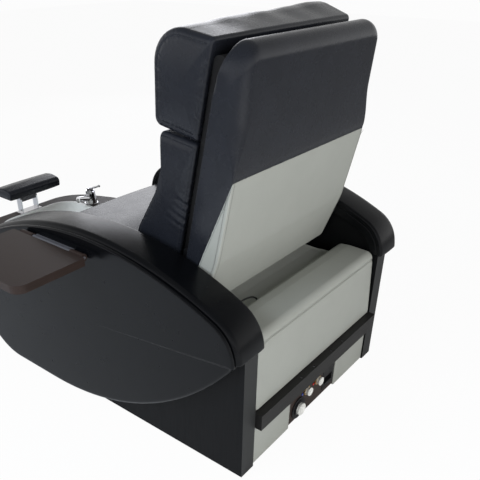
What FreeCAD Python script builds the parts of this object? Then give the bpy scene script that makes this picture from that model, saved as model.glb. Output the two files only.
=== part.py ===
import FreeCAD, Part
import Sketcher
import math
import os
import re
from FreeCAD import Placement, Rotation, Vector

# Pedicure spa chair. Millimetres, +Z up, the sitter faces -Y and the sitter's
# left is +X. The origin is on the floor, in the middle of the overall box.

SIZES = (
    # Overall layout
    ("half_length", 714, "half the length from the crossbar to the basin front"),
    ("tip_proud", 14, "arm pad rear tips behind the board edges"),
    ("inner_width", 660, "clear width between the side boards"),
    ("board_thick", 55, "side board thickness"),
    ("board_length", 972, "side board length along the floor"),
    ("shell_thick", 57, "padded side shell thickness"),
    ("fit_gap", 0.3, "gap between padded pieces that meet"),
    # Arms
    ("arm_base", 400, "height of the arm pad's two ends"),
    ("arm_half", 500, "half the arm pad's length"),
    ("arm_tip_radius", 120, "radius at the arm pad's ends"),
    ("arm_arch_angle", 25, "half angle of the arm's long arc"),
    ("pad_thick", 46, "arm pad thickness"),
    ("pad_width", 109, "arm pad width"),
    ("pad_overhang", 9, "arm pad inboard of the board"),
    ("pad_round", 15, "rounding of the arm pad's upper edges"),
    ("lip_drop", 8, "shell top edge below the arm pad's surface"),
    ("shell_clearance", 32, "side shell above the floor"),
    ("shell_sweep", 900, "radius of the shell's rising rear edge"),
    ("shell_nose", 90, "shell front beyond the arm pad's front tip"),
    ("shell_corner", 170, "radius of the shell's lower front corner"),
    ("shell_round", 10, "rounding of the shell's outer edges"),
    # Rear box and plumbing
    ("deck_height", 412, "top of the rear deck pad"),
    ("deck_depth", 128, "rear deck pad, front to back"),
    ("panel_recess", 12, "padded rear panel ahead of the board edges"),
    ("panel_thick", 26, "padded panel thickness"),
    ("panel_margin", 5, "gap beside the padded rear panel"),
    ("deck_margin", 10, "gap beside the rear deck pad"),
    ("panel_lean", 11, "padded rear panel's foot behind its top"),
    ("bar_bottom", 142, "underside of the rear crossbar"),
    ("bar_height", 49, "crossbar height"),
    ("bar_depth", 44, "crossbar depth"),
    ("bar_proud", 21, "crossbar behind the board edges"),
    ("screw_radius", 4, "crossbar screw head radius"),
    ("bay_left", 140, "plumbing bay edge on the sitter's left"),
    ("bay_right", 130, "plumbing bay edge on the sitter's right"),
    ("bay_recess", 8, "plumbing plate ahead of the board edges"),
    ("plate_thick", 6, "plumbing plate thickness"),
    ("inlet_radius", 11, "water inlet neck radius"),
    ("inlet_flange", 5, "water inlet flange beyond its neck"),
    ("inlet_cap_radius", 14, "water inlet cap radius"),
    ("inlet_cap_length", 13, "water inlet cap length"),
    ("inlet_height", 90, "water inlet centres above the floor"),
    ("cold_offset", 46, "cold inlet from the centre"),
    ("hot_offset", -19, "hot inlet from the centre"),
    ("drain_radius", 16, "drain pipe radius"),
    ("drain_flange", 20, "drain outlet flange beyond its pipe"),
    ("drain_cap_wall", 4, "drain cap wall"),
    ("drain_cap_length", 10.5, "drain cap length"),
    ("drain_height", 48, "drain outlet centre above the floor"),
    ("drain_offset", 88, "drain outlet from the centre"),
    ("marker_radius", 4.5, "hot and cold marker radius"),
    ("socket_offset", -92, "power inlet from the centre"),
    ("socket_width", 70, "power inlet width"),
    ("socket_height", 102, "power inlet height"),
    ("socket_bottom", 24, "power inlet above the floor"),
    # Seat and its carriage
    ("seat_top", 450, "crown of the seat cushion"),
    ("seat_thick", 108, "seat cushion thickness"),
    ("seat_front", 955, "seat front ahead of the board edges"),
    ("seat_depth", 492, "seat cushion depth"),
    ("seat_side_gap", 7, "seat cushion clear of each arm pad"),
    ("rail_height", 25, "seat rail height"),
    ("rail_width", 40, "seat rail width"),
    ("rail_offset", 250, "seat rail centres from the middle"),
    ("rail_bottom", 275, "underside of the seat rails"),
    ("tube_size", 30, "square tube of the base frame"),
    # Back
    ("back_lean", 12.2, "lean of the back's frame from upright"),
    ("back_width", 626, "back shell width"),
    ("back_height", 1072, "top of the back shell"),
    ("back_foot", 424, "underside of the back shell"),
    ("back_plane", 365, "back frame plane at floor height, ahead of the board edges"),
    ("back_top_depth", 66, "back shell thickness near its top"),
    ("back_belly_depth", 98, "back shell thickness at its fullest"),
    ("back_corner", 66, "radius of the back's upper corners"),
    ("back_round", 22, "rounding of the back's rear edges"),
    ("board_depth", 34, "back board thickness"),
    ("cushion_width", 594, "headrest and lumbar cushion width"),
    ("headrest_top", 1106, "top of the headrest cushion"),
    ("headrest_foot", 858, "underside of the headrest cushion"),
    ("headrest_depth", 136, "headrest cushion thickness"),
    ("lumbar_gap", 5, "gap between headrest and lumbar cushions"),
    ("shaft_radius", 9, "recline shaft radius"),
    ("pivot_height", 400, "recline shaft above the floor"),
    ("lever_length", 100, "recline lever below its shaft"),
    ("shaft_clearance", 0.1, "running clearance of shafts and pins"),
    # Basin
    ("deck_level", 315, "top of the basin deck"),
    ("deck_thick", 18, "basin deck thickness"),
    ("basin_nose", 480, "straight front width of the basin plan"),
    ("skirt_thick", 12, "basin skirt wall"),
    ("bowl_width", 344, "foot bowl opening width"),
    ("bowl_length", 335, "foot bowl opening length"),
    ("bowl_front_gap", 66, "deck strip ahead of the foot bowl"),
    ("bowl_depth", 188, "foot bowl depth"),
    ("bowl_corner", 78, "radius of the foot bowl's corners"),
    ("bowl_wall", 6, "foot bowl wall"),
    ("bowl_draft", 50, "foot bowl wall's run inwards"),
    ("rim_width", 12, "foot bowl rim width"),
    ("rim_thick", 5, "foot bowl rim thickness"),
    ("jet_radius", 40, "jet housing radius"),
    ("faucet_offset", -215, "faucet from the centre"),
    ("faucet_ahead", 545, "faucet ahead of the origin"),
    ("faucet_base", 28, "faucet base ring radius"),
    # Trays, footrest and switches
    ("tray_width", 208, "side tray width"),
    ("tray_length", 300, "side tray length"),
    ("tray_thick", 22, "side tray thickness"),
    ("tray_level", 560, "top of the side trays"),
    ("tray_rear", 450, "tray rear edge ahead of the board edges"),
    ("tray_standoff", 13, "tray hinge axis outside the side shell"),
    ("footrest_width", 240, "footrest pad width"),
    ("footrest_depth", 96, "footrest pad depth"),
    ("footrest_thick", 44, "footrest pad thickness"),
    ("footrest_level", 372, "footrest pivot above the floor"),
    ("lead_radius", 2.6, "rear lead radius"),
)

doc = FreeCAD.newDocument("PedicureSpaChair")
sheet = doc.addObject("Spreadsheet::Sheet", "Sizes")
for row, (alias, number, note) in enumerate(SIZES, start=1):
    sheet.set(f"A{row}", note)
    sheet.set(f"B{row}", str(number))
    sheet.setAlias(f"B{row}", alias)
doc.recompute()


class SheetValues:
    """The sheet's cells as numbers, for outlines worked out in code."""

    def __init__(self):
        for alias, _, _ in SIZES:
            setattr(self, alias, float(sheet.get(alias)))


d = SheetValues()
ALIASES = {alias for alias, _, _ in SIZES}
nodes = []


def bind(text):
    """An expression on sheet aliases, as the document's objects need it."""
    return re.sub(r"[a-z_]+", lambda m: f"Sizes.{m[0]}" if m[0] in ALIASES else m[0], text)


def keep(obj, name):
    """Marks an object as a sub-part and names its file."""
    obj.Label = name
    nodes.append(obj)
    return obj


def place(obj, corner, rotation=None):
    """Binds an object's position to the sheet."""
    obj.Placement = Placement(Vector(), rotation or Rotation())
    for axis, text in zip("xyz", corner):
        obj.setExpression(f".Placement.Base.{axis}", bind(text))
    return obj


def box(name, size, corner):
    obj = doc.addObject("Part::Box", name)
    for prop, text in zip(("Length", "Width", "Height"), size):
        obj.setExpression(prop, bind(text))
    return place(obj, corner)


ALONG = {
    "X": Rotation(Vector(0, 1, 0), 90),
    "Y": Rotation(Vector(1, 0, 0), -90),
    "Z": Rotation(),
}


def rod(name, radius, length, base, along="Z"):
    obj = doc.addObject("Part::Cylinder", name)
    obj.setExpression("Radius", bind(radius))
    obj.setExpression("Height", bind(length))
    return place(obj, base, ALONG[along])


def cut(name, base, tool):
    obj = doc.addObject("Part::Cut", name)
    obj.Base = base
    obj.Tool = tool
    return obj


def fuse(name, pieces):
    obj = doc.addObject("Part::MultiFuse", name)
    obj.Shapes = pieces
    return obj


def group(name, pieces):
    obj = doc.addObject("Part::Compound", name)
    obj.Links = pieces
    return obj


def feature(name, shape):
    obj = doc.addObject("Part::Feature", name)
    obj.Shape = shape
    return obj


# Outlines are lists of (u, v, radius): each corner is rounded by a tangent arc.

def rounded_edges(corners):
    """Line and arc edges of a closed outline, in its own plane."""
    count = len(corners)
    arcs = []
    for i, (u, v, radius) in enumerate(corners):
        here = Vector(u, v, 0)
        back = Vector(*corners[i - 1][:2], 0) - here
        ahead = Vector(*corners[(i + 1) % count][:2], 0) - here
        back.normalize()
        ahead.normalize()
        half = back.getAngle(ahead) / 2
        run = radius / math.tan(half)
        middle = back + ahead
        middle.normalize()
        centre = here + middle * (radius / math.sin(half))
        arcs.append((here + back * run, centre - middle * radius, here + ahead * run))
    edges = []
    for i, (start, middle, end) in enumerate(arcs):
        following = arcs[(i + 1) % count][0]
        edges.append(Part.Arc(start, middle, end))
        edges.append(Part.LineSegment(end, following))
    return edges


def side_wire(corners, x):
    """A rounded outline given in (y, z), set at a distance x from the middle."""
    turn = Placement(Vector(x, 0, 0), Rotation(Vector(1, 1, 1), 120))
    wire = Part.Wire([curve.toShape() for curve in rounded_edges(corners)])
    wire.Placement = turn
    return wire


def plan_wire(corners, z):
    wire = Part.Wire([curve.toShape() for curve in rounded_edges(corners)])
    wire.translate(Vector(0, 0, z))
    return wire


def shrunk(corners, inset):
    """An outline drawn in towards its middle by about the inset."""
    us = [c[0] for c in corners]
    vs = [c[1] for c in corners]
    mid_u = (min(us) + max(us)) / 2
    mid_v = (min(vs) + max(vs)) / 2
    scale_u = 1 - 2 * inset / (max(us) - min(us))
    scale_v = 1 - 2 * inset / (max(vs) - min(vs))
    scale = min(scale_u, scale_v)
    return [
        (mid_u + (u - mid_u) * scale_u, mid_v + (v - mid_v) * scale_v, r * scale)
        for u, v, r in corners
    ]


def padded(corners, half_width, crown, draw):
    """A stuffed cushion: its outline swells to the middle and draws in at the ends."""
    stations = ((1.0, crown + draw), (0.98, crown + 0.3 * draw), (0.92, 0.85 * crown), (0.6, 0.36 * crown))
    wires = []
    for share, inset in stations:
        wires.append(side_wire(shrunk(corners, inset), -share * half_width))
    wires.append(side_wire(corners, 0))
    for share, inset in reversed(stations):
        wires.append(side_wire(shrunk(corners, inset), share * half_width))
    return Part.makeLoft(wires, True, True)


PLANES = {"side": "YZ_Plane", "front": "XZ_Plane", "plan": "XY_Plane"}


def sketch_body(name, plane, curves, depth, corner):
    """A body padded from one closed sketch outline, with its depth on the sheet."""
    body = doc.addObject("PartDesign::Body", name)
    origin = [f for f in body.Origin.OriginFeatures if f.Role == PLANES[plane]][0]
    sketch = body.newObject("Sketcher::SketchObject", f"{name}_outline")
    sketch.AttachmentSupport = [(origin, "")]
    sketch.MapMode = "FlatFace"
    for curve in curves:
        sketch.addGeometry(curve, False)
    for i in range(len(curves)):
        sketch.addConstraint(Sketcher.Constraint("Block", i))
    pad = body.newObject("PartDesign::Pad", f"{name}_pad")
    pad.Profile = sketch
    pad.setExpression("Length", bind(depth))
    doc.recompute()
    place(body, corner)
    return body


def pierce(body, plane_shift, curves, depth, name, reverse=False):
    """A pocket cut into a body from a sketch at its starting plane."""
    base = body.Tip
    sketch = body.newObject("Sketcher::SketchObject", f"{name}_outline")
    support = base.Profile[0].AttachmentSupport
    sketch.AttachmentSupport = support
    sketch.MapMode = "FlatFace"
    sketch.AttachmentOffset = Placement(Vector(0, 0, plane_shift), Rotation())
    for curve in curves:
        sketch.addGeometry(curve, False)
    pocket = body.newObject("PartDesign::Pocket", f"{name}_pocket")
    pocket.Profile = sketch
    pocket.Length = depth
    pocket.Reversed = reverse
    before = base.Shape.Volume
    doc.recompute()
    if pocket.Shape.Volume >= before:
        raise RuntimeError(f"{name} cut nothing")
    return pocket


def soften(body, radius, test):
    """Fillets the edges of a body's last feature that pass the test."""
    base = body.Tip
    names = [f"Edge{i}" for i, e in enumerate(base.Shape.Edges, start=1) if test(e)]
    fillet = body.newObject("PartDesign::Fillet", f"{body.Name}_round")
    fillet.Base = (base, names)
    fillet.setExpression("Radius", bind(radius))
    doc.recompute()
    return fillet


# Shared places

rear = d.half_length - d.bar_proud
board_outer = d.inner_width / 2 + d.board_thick
shell_outer = board_outer + d.shell_thick
pad_inner = d.inner_width / 2 - d.pad_overhang
pad_outer = pad_inner + d.pad_width
arm_middle = rear + d.tip_proud - d.arm_half
arch_angle = math.radians(d.arm_arch_angle)
arm_radius = (d.arm_half - d.arm_tip_radius * (1 - math.sin(arch_angle))) / math.sin(arch_angle)
REAR = "half_length - bar_proud"


def arch(offset):
    """Three arcs of the arm's arch, from its rear tip to its front tip."""
    long_radius = arm_radius + offset
    tip_radius = d.arm_tip_radius + offset
    long_centre = d.arm_base + (d.arm_tip_radius - arm_radius) * math.cos(arch_angle)
    tip_reach = d.arm_half - d.arm_tip_radius
    joint_y = long_radius * math.sin(arch_angle)
    joint_z = long_centre + long_radius * math.cos(arch_angle)
    half_turn = (math.pi / 2 - arch_angle) / 2
    bend_y = tip_reach + tip_radius * math.cos(half_turn)
    bend_z = d.arm_base + tip_radius * math.sin(half_turn)
    tip_y = tip_reach + tip_radius
    rear_arc = [(tip_y, d.arm_base), (bend_y, bend_z), (joint_y, joint_z)]
    top_arc = [(joint_y, joint_z), (0, long_centre + long_radius), (-joint_y, joint_z)]
    front_arc = [(-joint_y, joint_z), (-bend_y, bend_z), (-tip_y, d.arm_base)]
    return [
        Part.Arc(*[Vector(arm_middle + y, z, 0) for y, z in points])
        for points in (rear_arc, top_arc, front_arc)
    ]


def line(start, end):
    return Part.LineSegment(Vector(*start, 0), Vector(*end, 0))


def arc(start, middle, end):
    return Part.Arc(Vector(*start, 0), Vector(*middle, 0), Vector(*end, 0))


# Side boards: straight at the rear and front, arched under the arm pad

board_front = rear - d.board_length
under_pad = arch(-d.pad_thick)
arch_rear = (arm_middle + d.arm_half - d.pad_thick, d.arm_base)
arch_front = (arm_middle - d.arm_half + d.pad_thick, d.arm_base)
board_outline = [
    line((rear, 0), (rear, d.arm_base)),
    line((rear, d.arm_base), arch_rear),
    *under_pad,
    line(arch_front, (board_front, d.arm_base)),
    line((board_front, d.arm_base), (board_front, 0)),
    line((board_front, 0), (rear, 0)),
]
for side, corner in (("left", "inner_width / 2"), ("right", "-inner_width / 2 - board_thick")):
    board = sketch_body(f"side_board_{side}", "side", board_outline, "board_thick", (corner, "0", "0"))
    keep(board, f"side_board_{side}")

# Arm pads: an arched band, rounded along its upper edges

pad_foot_rear = (arm_middle + d.arm_half, d.arm_base)
pad_foot_front = (arm_middle - d.arm_half, d.arm_base)
pad_outline = [
    *arch(0),
    line(pad_foot_front, arch_front),
    *under_pad,
    line(arch_rear, pad_foot_rear),
]


def on_upper_arch(edge):
    if abs(edge.Vertexes[0].X - edge.Vertexes[-1].X) > 0.01 or not hasattr(edge.Curve, "Radius"):
        return False
    return any(abs(edge.Curve.Radius - r) < 0.01 for r in (arm_radius, d.arm_tip_radius))


for side, corner in (
    ("left", "inner_width / 2 - pad_overhang"),
    ("right", "-inner_width / 2 + pad_overhang - pad_width"),
):
    pad = sketch_body(f"arm_pad_{side}", "side", pad_outline, "pad_width", (corner, "0", "0"))
    soften(pad, "pad_round", on_upper_arch)
    keep(pad, f"arm_pad_{side}")

# Side shells: padded leaves outside the boards, with a lip beside the arm pad

sweep_z = d.shell_clearance + d.shell_sweep
sweep_rise = d.arm_base - d.shell_clearance
sweep_run = math.sqrt(d.shell_sweep ** 2 - (d.shell_sweep - sweep_rise) ** 2)
lip_rear = (arm_middle + d.arm_half - d.lip_drop, d.arm_base)
lip_front = (arm_middle - d.arm_half + d.lip_drop, d.arm_base)
sweep_foot = (lip_rear[0] - sweep_run, d.shell_clearance)
half_sweep = math.asin(sweep_run / d.shell_sweep) / 2
sweep_middle = (
    sweep_foot[0] + d.shell_sweep * math.sin(half_sweep),
    sweep_z - d.shell_sweep * math.cos(half_sweep),
)
nose_y = arm_middle - d.arm_half - d.shell_nose
nose_z = d.shell_clearance + d.shell_corner
nose_foot = (nose_y + d.shell_corner, d.shell_clearance)
corner_middle = (
    nose_y + d.shell_corner * (1 - math.sqrt(0.5)),
    nose_z - d.shell_corner * math.sqrt(0.5),
)
bow_y = lip_front[0] - nose_y
bow_z = d.arm_base - nose_z
bow_radius = (bow_y ** 2 + bow_z ** 2) / (2 * bow_y)
bow_angle = math.asin(bow_z / bow_radius) / 2
bow_middle = (
    nose_y + bow_radius * (1 - math.cos(bow_angle)),
    nose_z + bow_radius * math.sin(bow_angle),
)
shell_outline = [
    *arch(-d.lip_drop),
    arc(lip_front, bow_middle, (nose_y, nose_z)),
    arc((nose_y, nose_z), corner_middle, nose_foot),
    line(nose_foot, sweep_foot),
    arc(sweep_foot, sweep_middle, lip_rear),
]
lip_clear = [
    *arch(0),
    line(pad_foot_front, (arch_front[0] + d.fit_gap, d.arm_base)),
    *arch(-d.pad_thick - d.fit_gap),
    line((arch_rear[0] - d.fit_gap, d.arm_base), pad_foot_rear),
]
lip_inset = pad_outer + d.fit_gap - board_outer


def make_side_shell(side, corner, outer_face):
    shell = sketch_body(f"side_shell_{side}", "side", shell_outline, "shell_thick", (corner, "0", "0"))
    inner_start = 0 if side == "left" else d.shell_thick - lip_inset
    pierce(shell, inner_start, lip_clear, lip_inset, f"side_shell_{side}_lip", True)
    soften(
        shell,
        "shell_round",
        lambda e: all(abs(v.X - outer_face) < 0.01 for v in e.Vertexes) and e.Length > 20,
    )
    keep(shell, f"side_shell_{side}")


make_side_shell("left", "inner_width / 2 + board_thick", d.shell_thick)
make_side_shell("right", "-inner_width / 2 - board_thick - shell_thick", 0)

# Rear box: a padded deck over a padded panel, above the crossbar

bar_top = d.bar_bottom + d.bar_height
panel_rear = rear - d.panel_recess
deck_front = panel_rear - d.deck_depth
deck_profile = rounded_edges([
    (panel_rear, d.deck_height - d.panel_thick, 3),
    (panel_rear, d.deck_height - 3, 19),
    (rear - 0.75 * d.deck_depth, d.deck_height + 2, 60),
    (deck_front, d.deck_height - 2, 24),
    (deck_front - 2, d.deck_height - 1.7 * d.panel_thick, 6),
    (deck_front + d.panel_thick, d.deck_height - 1.7 * d.panel_thick, 6),
    (deck_front + d.panel_thick + 6, d.deck_height - d.panel_thick, 6),
])
deck = sketch_body(
    "rear_deck_pad", "side", deck_profile, "inner_width - 2 * deck_margin",
    ("-inner_width / 2 + deck_margin", "0", "0"),
)
keep(deck, "rear_deck_pad")

face_profile = rounded_edges([
    (panel_rear + d.panel_lean, bar_top + 0.5, 4),
    (panel_rear, d.deck_height - d.panel_thick - d.fit_gap, 4),
    (panel_rear - d.panel_thick, d.deck_height - d.panel_thick - d.fit_gap, 2),
    (panel_rear - d.panel_thick, bar_top + 0.5, 2),
])
face = sketch_body(
    "rear_face_panel", "side", face_profile, "inner_width - 2 * panel_margin",
    ("-inner_width / 2 + panel_margin", "0", "0"),
)
keep(face, "rear_face_panel")

# Trough liner: a vinyl apron from the deck's front edge, down and under the back

liner_thick = 4
liner_path = [
    (deck_front - 1.8, d.deck_height - 26, 0.5),
    (deck_front - 12, d.deck_height - 36, 8),
    (deck_front - 34, d.deck_height - 42, 14),
    (deck_front - 118, d.deck_height - 50, 0.5),
]
liner_under = [(y, z - liner_thick, r) for y, z, r in reversed(liner_path)]
liner_under[-1] = (liner_path[0][0] - 0.5, liner_path[0][1] - liner_thick - 2, 0.5)
liner = sketch_body(
    "trough_liner", "side", rounded_edges(liner_path + liner_under),
    "inner_width - 4 * deck_margin", ("-inner_width / 2 + 2 * deck_margin", "0", "0"),
)
keep(liner, "trough_liner")

# Crossbar with four countersunk screws in its top

bar = box(
    "crossbar_blank", ("inner_width", "bar_depth", "bar_height"),
    ("-inner_width / 2", f"{REAR} + bar_proud - bar_depth", "bar_bottom"),
)
SCREW_PLACES = (120, 51, -51, -120)
screw_length = 24
pockets = []
screws = []
for i, x in enumerate(SCREW_PLACES):
    base = (str(x), f"{REAR} + bar_proud - bar_depth / 5", f"bar_bottom + bar_height - {screw_length}")
    pockets.append(rod(f"screw_pocket_{i}", "screw_radius", str(screw_length), base))
    screws.append(rod(f"crossbar_screw_{i}", "screw_radius", str(screw_length - 2), base))
keep(cut("rear_crossbar", bar, fuse("screw_pockets", pockets)), "rear_crossbar")
keep(group("crossbar_screws", screws), "crossbar_screws")

# Lower rear panels on each side of the plumbing bay

panel_gap = "0.3"
keep(box(
    "rear_panel_left",
    (f"inner_width / 2 - bay_left - {panel_gap}", "panel_thick - 8", "bar_bottom - 1.3"),
    ("bay_left", f"{REAR} - panel_thick + 4", "1"),
), "rear_panel_left")
keep(box(
    "rear_panel_right",
    (f"inner_width / 2 - bay_right - {panel_gap}", "panel_thick - 8", "bar_bottom - 1.3"),
    (f"-inner_width / 2 + {panel_gap}", f"{REAR} - panel_thick + 4", "1"),
), "rear_panel_right")

# Plumbing plate with its inlets, outlet and power socket

plate_blank = box(
    "plate_blank", ("bay_left + bay_right - 1", "plate_thick", "bar_bottom - 12"),
    ("-bay_right + 0.5", f"{REAR} - bay_recess - plate_thick", "10"),
)
plate_face = f"{REAR} - bay_recess"
plate_back = f"{REAR} - bay_recess - plate_thick"
inlet_neck = 8
inlet_collar = 4
cap_disc = 5.5
socket_gap = 0.5
bay_holes = [
    rod("cold_hole", "inlet_radius + fit_gap", "plate_thick + 2",
        ("cold_offset", f"{plate_back} - 1", "inlet_height"), "Y"),
    rod("hot_hole", "inlet_radius + fit_gap", "plate_thick + 2",
        ("hot_offset", f"{plate_back} - 1", "inlet_height"), "Y"),
    rod("drain_hole", "drain_radius + fit_gap", "plate_thick + 2",
        ("drain_offset", f"{plate_back} - 1", "drain_height"), "Y"),
    box("socket_hole", (f"socket_width + 2 * {socket_gap}", "plate_thick + 2", f"socket_height + 2 * {socket_gap}"),
        (f"socket_offset - socket_width / 2 - {socket_gap}", f"{plate_back} - 1", f"socket_bottom - {socket_gap}")),
]
keep(cut("plumbing_plate", plate_blank, fuse("bay_cutouts", bay_holes)), "plumbing_plate")

# Water inlets: a flanged brass neck with a nut behind the plate, a stepped cap and a painted dot

inlet_caps = []
markers = []
for water in ("cold", "hot"):
    centre = f"{water}_offset"
    tail = rod(f"{water}_tail", "inlet_radius", f"plate_thick + {inlet_neck} + 26",
               (centre, f"{plate_back} - 26", "inlet_height"), "Y")
    collar = rod(f"{water}_collar", "inlet_radius + inlet_flange", str(inlet_collar),
                 (centre, plate_face, "inlet_height"), "Y")
    nut = rod(f"{water}_nut", "inlet_radius + 3", "8", (centre, f"{plate_back} - 8", "inlet_height"), "Y")
    keep(fuse(f"{water}_inlet", [tail, collar, nut]), f"{water}_inlet")
    cap_start = (centre, f"{plate_face} + {inlet_collar}", "inlet_height")
    skirt = rod(f"{water}_cap_skirt", "inlet_cap_radius - 1.6", "inlet_cap_length", cap_start, "Y")
    disc = rod(f"{water}_cap_disc", "inlet_cap_radius", str(cap_disc),
               (centre, f"{plate_face} + {inlet_collar} + inlet_cap_length - {cap_disc}", "inlet_height"), "Y")
    bore = rod(f"{water}_cap_bore", "inlet_radius", str(inlet_neck - inlet_collar), cap_start, "Y")
    inlet_caps.append(cut(f"{water}_cap", fuse(f"{water}_cap_blank", [skirt, disc]), bore))
    markers.append(rod(f"{water}_marker", "marker_radius", "1.2",
                       (f"{centre} + inlet_radius + inlet_flange + marker_radius + 0.5",
                        plate_face, "inlet_height - 5"), "Y"))
keep(group("inlet_caps", inlet_caps), "inlet_caps")
keep(group("inlet_markers", markers), "inlet_markers")

# Drain outlet: a wide stepped flange round the pipe's end, with a screwed cap

drain_neck = 14
drain_step = 6
drain_face = ("drain_offset", plate_face, "drain_height")
drain_flange = rod("drain_wide_flange", "drain_radius + drain_flange", "3.5", drain_face, "Y")
drain_ring = rod("drain_ring", "drain_radius + drain_flange / 2", str(drain_step), drain_face, "Y")
drain_tail = rod("drain_tail", "drain_radius", f"plate_thick + {drain_neck} + 30",
                 ("drain_offset", f"{plate_back} - 30", "drain_height"), "Y")
keep(fuse("drain_outlet", [drain_flange, drain_ring, drain_tail]), "drain_outlet")
drain_cap_start = ("drain_offset", f"{plate_face} + {drain_step}", "drain_height")
drain_cap = rod("drain_cap_blank", "drain_radius + drain_cap_wall", "drain_cap_length", drain_cap_start, "Y")
drain_bore = rod("drain_cap_bore", "drain_radius", str(drain_neck - drain_step), drain_cap_start, "Y")
keep(cut("drain_cap", drain_cap, drain_bore), "drain_cap")

# Power inlet: a black box through the plate, with the socket's well low in its face

inlet_proud = 1
socket_depth = 18
socket_blank = box("socket_blank", ("socket_width", f"plate_thick + 30 + {inlet_proud}", "socket_height"),
                   ("socket_offset - socket_width / 2", f"{plate_back} - 30", "socket_bottom"))
socket_well = box("socket_well", ("48", str(socket_depth), "26"),
                  ("socket_offset - 24", f"{plate_face} + {inlet_proud} - {socket_depth}", "socket_bottom + 16"))
keep(cut("power_inlet", socket_blank, socket_well), "power_inlet")

# Base frame under the seat: two cross tubes between the boards

rear_tube = f"{REAR} - 240"
BOWL_REAR = "(bowl_front_gap + bowl_length - half_length)"
front_tube = f"{BOWL_REAR} + 106"
tubes = []
for tag, y in (("rear", rear_tube), ("front", front_tube)):
    outer = box(f"{tag}_tube_outer", ("inner_width", "tube_size", "tube_size"),
                ("-inner_width / 2", y, "rail_bottom - tube_size"))
    inner = box(f"{tag}_tube_inner", ("inner_width + 2", "tube_size - 5", "tube_size - 5"),
                ("-inner_width / 2 - 1", f"{y} + 2.5", "rail_bottom - tube_size + 2.5"))
    tubes.append(cut(f"{tag}_cross_tube", outer, inner))
for tag, centre in (("left", "rail_offset"), ("right", "-rail_offset")):
    rail_length = f"{rear_tube} + tube_size + 30 - ({front_tube})"
    tubes.append(box(f"{tag}_rail", ("rail_width", rail_length, "rail_height"),
                     (f"{centre} - rail_width / 2", f"{front_tube} - 5", "rail_bottom")))
keep(fuse("base_frame", tubes), "base_frame")

# Seat carriage: runners on the rails, cross members and the back's shaft

lean = math.tan(math.radians(d.back_lean))


def back_line(z, ahead=0.0):
    """Y of the back's frame plane at a height, or of a plane ahead of it."""
    return rear - d.back_plane + lean * z - ahead


pivot_y = back_line(d.pivot_height) - d.board_depth / 2
carriage_z = d.rail_bottom + d.rail_height + d.fit_gap
carriage_rear = pivot_y + 16
carriage_front = rear - d.seat_front + 140
runner_thick = d.seat_top - d.seat_thick - carriage_z - d.fit_gap
carriage_middle = (carriage_front + carriage_rear) / 2
ear_x = d.cushion_width / 2 - 3
ear_thick = 8
lever_z = d.pivot_height - d.lever_length
pin_radius = 5
motor_reach = 330
motor_y = pivot_y - motor_reach
motor_z = lever_z


def solid_box(x, y, z, size_x, size_y, size_z):
    return Part.makeBox(size_x, size_y, size_z, Vector(x, y, z))


def carriage_shape():
    half = d.rail_offset + d.rail_width / 2
    depth = carriage_rear - carriage_front
    pieces = []
    for x in (-half, half - d.rail_width):
        pieces.append(solid_box(x, carriage_front, carriage_z, d.rail_width, depth, runner_thick))
    member = 40
    strip_z = carriage_z + runner_thick - 12
    for y in (carriage_front, carriage_middle, pivot_y - 90):
        pieces.append(solid_box(-half, y, strip_z, 2 * half, member, 12))
    for sign in (1, -1):
        x = ear_x if sign > 0 else -ear_x - ear_thick
        low = solid_box(x, pivot_y - 24, carriage_z, ear_thick, 40, d.pivot_height - carriage_z)
        eye = Part.makeCylinder(20, ear_thick, Vector(x, pivot_y, d.pivot_height), Vector(1, 0, 0))
        reach = abs(ear_x) + ear_thick - half
        start = half if sign > 0 else -half - reach
        foot = solid_box(start, pivot_y - 24, carriage_z, reach, 40, runner_thick)
        pieces += [low, eye, foot]
    shaft_half = ear_x + ear_thick + 2
    pieces.append(Part.makeCylinder(
        d.shaft_radius, 2 * shaft_half, Vector(-shaft_half, pivot_y, d.pivot_height), Vector(1, 0, 0),
    ))
    for x in (9, -15):
        cheek_height = carriage_z + runner_thick - motor_z + 14
        pieces.append(solid_box(x, motor_y - 14, motor_z - 14, 6, 28, cheek_height))
    hanger_depth = carriage_middle + 42 - motor_y
    pieces.append(solid_box(-15, motor_y - 14, carriage_z + runner_thick - 6, 30, hanger_depth, 6))
    pieces.append(Part.makeCylinder(pin_radius, 30, Vector(-15, motor_y, motor_z), Vector(1, 0, 0)))
    return pieces[0].multiFuse(pieces[1:]).removeSplitter()


keep(feature("seat_carriage", carriage_shape()), "seat_carriage")

# Seat cushion

seat_front_y = rear - d.seat_front
seat_foot = d.seat_top - d.seat_thick
seat_corners = [
    (seat_front_y, seat_foot, 12),
    (seat_front_y - 2, d.seat_top - 16, 34),
    (seat_front_y + d.seat_depth / 2, d.seat_top, 700),
    (seat_front_y + d.seat_depth, d.seat_top - 12, 14),
    (seat_front_y + d.seat_depth, seat_foot, 12),
]
seat_half = pad_inner - d.seat_side_gap
keep(feature("seat_cushion", padded(seat_corners, seat_half, 3, 9)), "seat_cushion")

# Back board and the covers around its rear

back_foot_z = d.back_foot + 16


def back_board_shape():
    top = d.back_height - 32
    corners = [
        (back_line(back_foot_z), back_foot_z, 4),
        (back_line(top), top, 14),
        (back_line(top, d.board_depth), top, 14),
        (back_line(back_foot_z, d.board_depth), back_foot_z, 4),
    ]
    half = d.cushion_width / 2 - 14
    return Part.Face(side_wire(corners, -half)).extrude(Vector(2 * half, 0, 0))


keep(feature("back_board", back_board_shape()), "back_board")

belly_z = 0.55 * d.back_foot + 0.45 * d.back_height - 40
fold_z = d.back_foot + 150


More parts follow.
